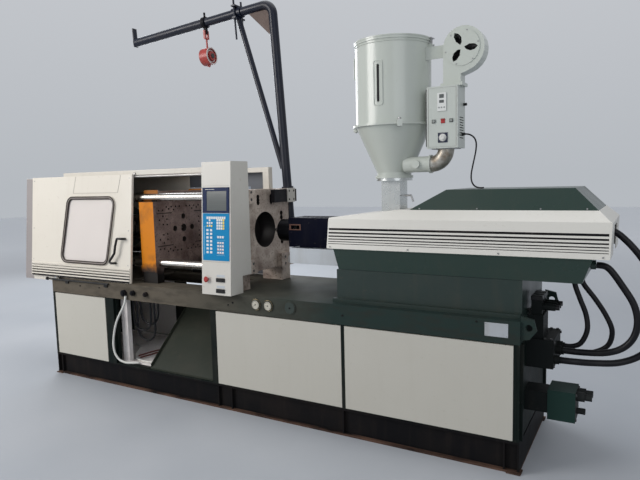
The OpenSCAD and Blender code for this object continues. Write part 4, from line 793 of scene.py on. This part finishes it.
# Hopper
strip("sight_glass", black_plastic, "carriage",
      [(hopper_x - 8.6, hopper_x + 8.6, 1 - hopper_r, 4 - hopper_r, 2222, 2450)])
rim = [(hopper_x - 30, 2196), (hopper_x + 30, 2196), (hopper_x + 30, 2476), (hopper_x - 30, 2476)]
bead("sight_frame", hopper_white, "carriage", round_loop(rim, 12, 1 - hopper_r), 4, 10)
spots = []
for a in (60, 180, 300):
    x, y = hopper_x + joint_r * math.cos(math.radians(a)), joint_r * math.sin(math.radians(a))
    spots += [((x, y, joint_z - 52), (x, y, joint_z + 4), 6), ((x, y, joint_z - 4), (x, y, joint_z + 6), 11)]
dots("joint_bolts", steel, "carriage", spots, None, 12, 0.5)
edge_r = hopper_r + 1
edge = [(hopper_x + edge_r * math.cos(w), edge_r * math.sin(w), hopper_top) for w in around(64)]
bead("hopper_bead", hopper_white, "carriage", edge, 3, 8)

# Dryer box
strip("controller_windows", screen_glass, "dryer_front",
      [(dryer_x + 84, dryer_x + 114, controller_face - 1.4, controller_face, dryer_z + low, dryer_z + high)
       for low, high in ((312, 336), (282, 300))], None, 0.4)
dots("controller_keys", grey_plastic, "dryer_front",
     [((dryer_x + x, controller_face - 1.8, dryer_z + 254), (dryer_x + x, controller_face, dryer_z + 254), 5)
      for x in (82, 99, 116)], None, 16, 0.4)
strip("lamp_frames", black_plastic, "dryer_front",
      [(dryer_x + x, dryer_x + x + 22, -158.4, -156.9, dryer_z + 159, dryer_z + 181) for x in (36, 149)],
      None, 0.4)
strip("lamp_caps", grey_plastic, "dryer_front",
      [(dryer_x + x, dryer_x + x + 16, -161.5, -158.3, dryer_z + 162, dryer_z + 178) for x in (39, 152)],
      None, 1.0)
bm = bmesh.new()
dial_x, dial_z = dryer_x + 105, dryer_z + 66
for i in range(11):
    a = math.radians(-135 + 27 * i)
    rod(bm, (dial_x + math.sin(a) * 22, -155.6, dial_z + math.cos(a) * 22),
        (dial_x + math.sin(a) * 26, -155.6, dial_z + math.cos(a) * 26), 0.9, 6)
piece("dial_ticks", bm, white_plastic, "dryer_front")
x0, x1, z0, z1 = dryer_x + 10, dryer_x + dryer_w - 10, dryer_z + 10, dryer_z + dryer_h - 10
edge = [(x, door_face - 0.2, z) for x, z in ((x0, z0), (x1, z0), (x1, z1), (x0, z1))]
bead("door_bead", gasket_core, "dryer_front", edge, 1.2, 6)
strip("box_base", steel, "carriage",
      [(dryer_x + 20, dryer_x + dryer_w - 20, -120, -10, dryer_z - 4, dryer_z + 0.5)], None, 0.8)
dots("box_gland", black_plastic, "carriage",
     [((gland_x, y, z), (gland_x + 22, y, z), 9) for y, z in ((-60, 1990), (-20, 2180))], None, 20, 1.0)
cable("supply_cable", rubber, "carriage",
      [(1822, -60, 1990), (1852, -60, 1984), (1880, -61, 1963), (1893, -62, 1930), (1892, -64, 1886),
       (1884, -68, 1838), (1874, -74, 1784), (1867, -79, 1736), (1870, -84, 1694), (1888, -91, 1663),
       (1918, -98, 1649), (1952, -104, 1648)], 5)

# Blower
bm = bmesh.new()
for k in range(9):
    rod(bm, (blower_x, 2 + 11 * k, blower_z), (blower_x, 5 + 11 * k, blower_z), 76, 40)
rod(bm, (blower_x, 116, blower_z), (blower_x, 122, blower_z), 60, 40, 50)
piece("motor_fins", bm, dark_steel, "carriage")
strip("motor_box", dark_steel, "carriage",
      [(blower_x - 30, blower_x + 30, 30, 84, blower_z + 68, blower_z + 106)], None, 3)
spots = []
for w in around(6, 0.2):
    x, z = blower_x + 104 * math.cos(w), blower_z + 104 * math.sin(w)
    spots.append(((x, -116, z), (x, -113.5, z), 4.5))
dots("blower_screws", steel, "carriage", spots, None, 12, 0.4)

# Clamp unit and valve block
spots = []
for sy in (-1, 1):
    for sz in (-1, 1):
        for off in (-27, 28):
            y, z = sy * (bar_y - 64), axis_z + sz * (bar_z + off)
            spots.append(((226, y, z), (238, y, z), 10))
dots("plate_bolts", dark_steel, "machine", spots, None, 20, 0.8)
dots("block_bolts", dark_steel, "machine",
     [((x, y, 760), (x, y, 768), 9) for x in (2345, 2380) for y in (-245, 25)]
     + [((2395, y, z), (2403, y, z), 9) for y in (-248, 28) for z in (606, 745)]
     + [((2522, y, z), (2529, y, z), 8) for y in (-293, -137) for z in (320, 465)], None, 6, 0.8)
coils = [-205 + 66 * i for i in range(3)]
strip("coil_caps", black_plastic, "machine",
      [(2262, 2328, y - 28, y + 28, 985, 1012) for y in coils], None, 4)
dots("coil_plugs", black_plastic, "machine",
     [((2395, y, 945), (2418, y, 945), 15) for y in coils], None, 20, 2)

# Crane
crane = Matrix.Translation(crane_foot) @ Matrix.Rotation(math.radians(-crane_lean), 4, "Y")
bm = bmesh.new()
for s in (-1, 1):
    corners = ((-36, 1578), (-246, 1578), (-36, 1352))
    low = [bm.verts.new((x, s * 4.05, z)) for x, z in corners]
    high = [bm.verts.new((x, s * 5.2, z)) for x, z in corners]
    bm.faces.new(low)
    bm.faces.new(high)
    for k in range(3):
        bm.faces.new((low[k], low[(k + 1) % 3], high[(k + 1) % 3], high[k]))
piece("gusset_skin", bm, rust, "jib", crane)
hoist_z = arm_z - arm_r - trolley_h - hoist_drop
bm = bmesh.new()
for radius, out in ((52, 34), (70, 44)):
    ring = [(trolley_x + out, radius * math.cos(w), hoist_z + radius * math.sin(w)) for w in around(40)]
    tube(bm, ring, 4, 8, True)
piece("hoist_rings", bm, white_plastic, "hoist_block", crane)
dots("hoist_cap", dark_steel, "hoist_block",
     [((trolley_x + 50, 0, hoist_z), (trolley_x + 58, 0, hoist_z), 22)], crane, bevel=2)


# Stage
def floor_finish():
    """Grey floor that fades into the backdrop far from the machine."""
    m, t, shader, where = start("floor_paint")
    cloud = noise(t, where, 0.7, 6)
    grain = noise(t, where, 60.0, 3)
    color = blend_color(t, ramp(t, cloud, 0.3, 0.7), (0.37, 0.395, 0.43), (0.43, 0.45, 0.48))
    away = node(t, "VectorMath", {0: where}, operation="LENGTH").outputs["Value"]
    color = blend_color(t, ramp(t, away, 5.0, 14.0), color, (0.86, 0.89, 0.93))
    t.links.new(color, shader.inputs["Base Color"])
    t.links.new(ramp(t, cloud, -0.6, 1.6), shader.inputs["Roughness"])
    raised = node(t, "Bump", {"Height": grain, "Strength": 0.05, "Distance": 0.002}).outputs[0]
    t.links.new(raised, shader.inputs["Normal"])
    return m


floor_half = 30000
bm = bmesh.new()
bmesh.ops.create_grid(bm, x_segments=1, y_segments=1, size=floor_half)
floor = piece("floor", bm, floor_finish(), None)

world = bpy.data.worlds.new("studio")
bpy.context.scene.world = world
world.use_nodes = True
sky = world.node_tree
up = axes(sky, sky.nodes.new("ShaderNodeTexCoord").outputs["Generated"])[2]
shade = blend_color(sky, ramp(sky, up, 0.0, 0.30), (0.70, 0.74, 0.79), (0.82, 0.85, 0.90))
sky.links.new(shade, sky.nodes["Background"].inputs[0])
# The backdrop that eyes, metal and glass see is a little paler than the light it sheds
light_shed, paler = 0.54, 0.12
ray = sky.nodes.new("ShaderNodeLightPath").outputs
seen = math_node(sky, "MAXIMUM", ray["Is Camera Ray"],
                 math_node(sky, "MAXIMUM", ray["Is Glossy Ray"], ray["Is Transmission Ray"]))
strength = math_node(sky, "ADD", math_node(sky, "MULTIPLY", seen, paler), light_shed)
sky.links.new(strength, sky.nodes["Background"].inputs[1])
bpy.context.scene.view_settings.view_transform = "Standard"


def area(name, place, target, size, power, color):
    """A square lamp at a place, in metres, that looks at a target."""
    data = bpy.data.lights.new(name, "AREA")
    data.size = size
    data.energy = power
    data.color = color
    o = bpy.data.objects.new(name, data)
    bpy.context.scene.collection.objects.link(o)
    o.location = place
    o.rotation_euler = (Vector(target) - Vector(place)).to_track_quat("-Z", "Y").to_euler()


area("key", (-5.2, -6.0, 4.2), (-1.2, 0, 1.2), 4.0, 430, (1.0, 0.97, 0.94))
area("fill", (5.5, -5.0, 3.5), (1.0, 0, 1.2), 4.0, 75, (0.94, 0.97, 1.0))
area("top", (0.3, 0.5, 6.5), (0.3, 0, 1.0), 5.0, 130, (1.0, 1.0, 1.0))
area("back", (-5.0, 5.0, 4.0), (0, 0, 1.5), 4.0, 220, (0.93, 0.96, 1.0))
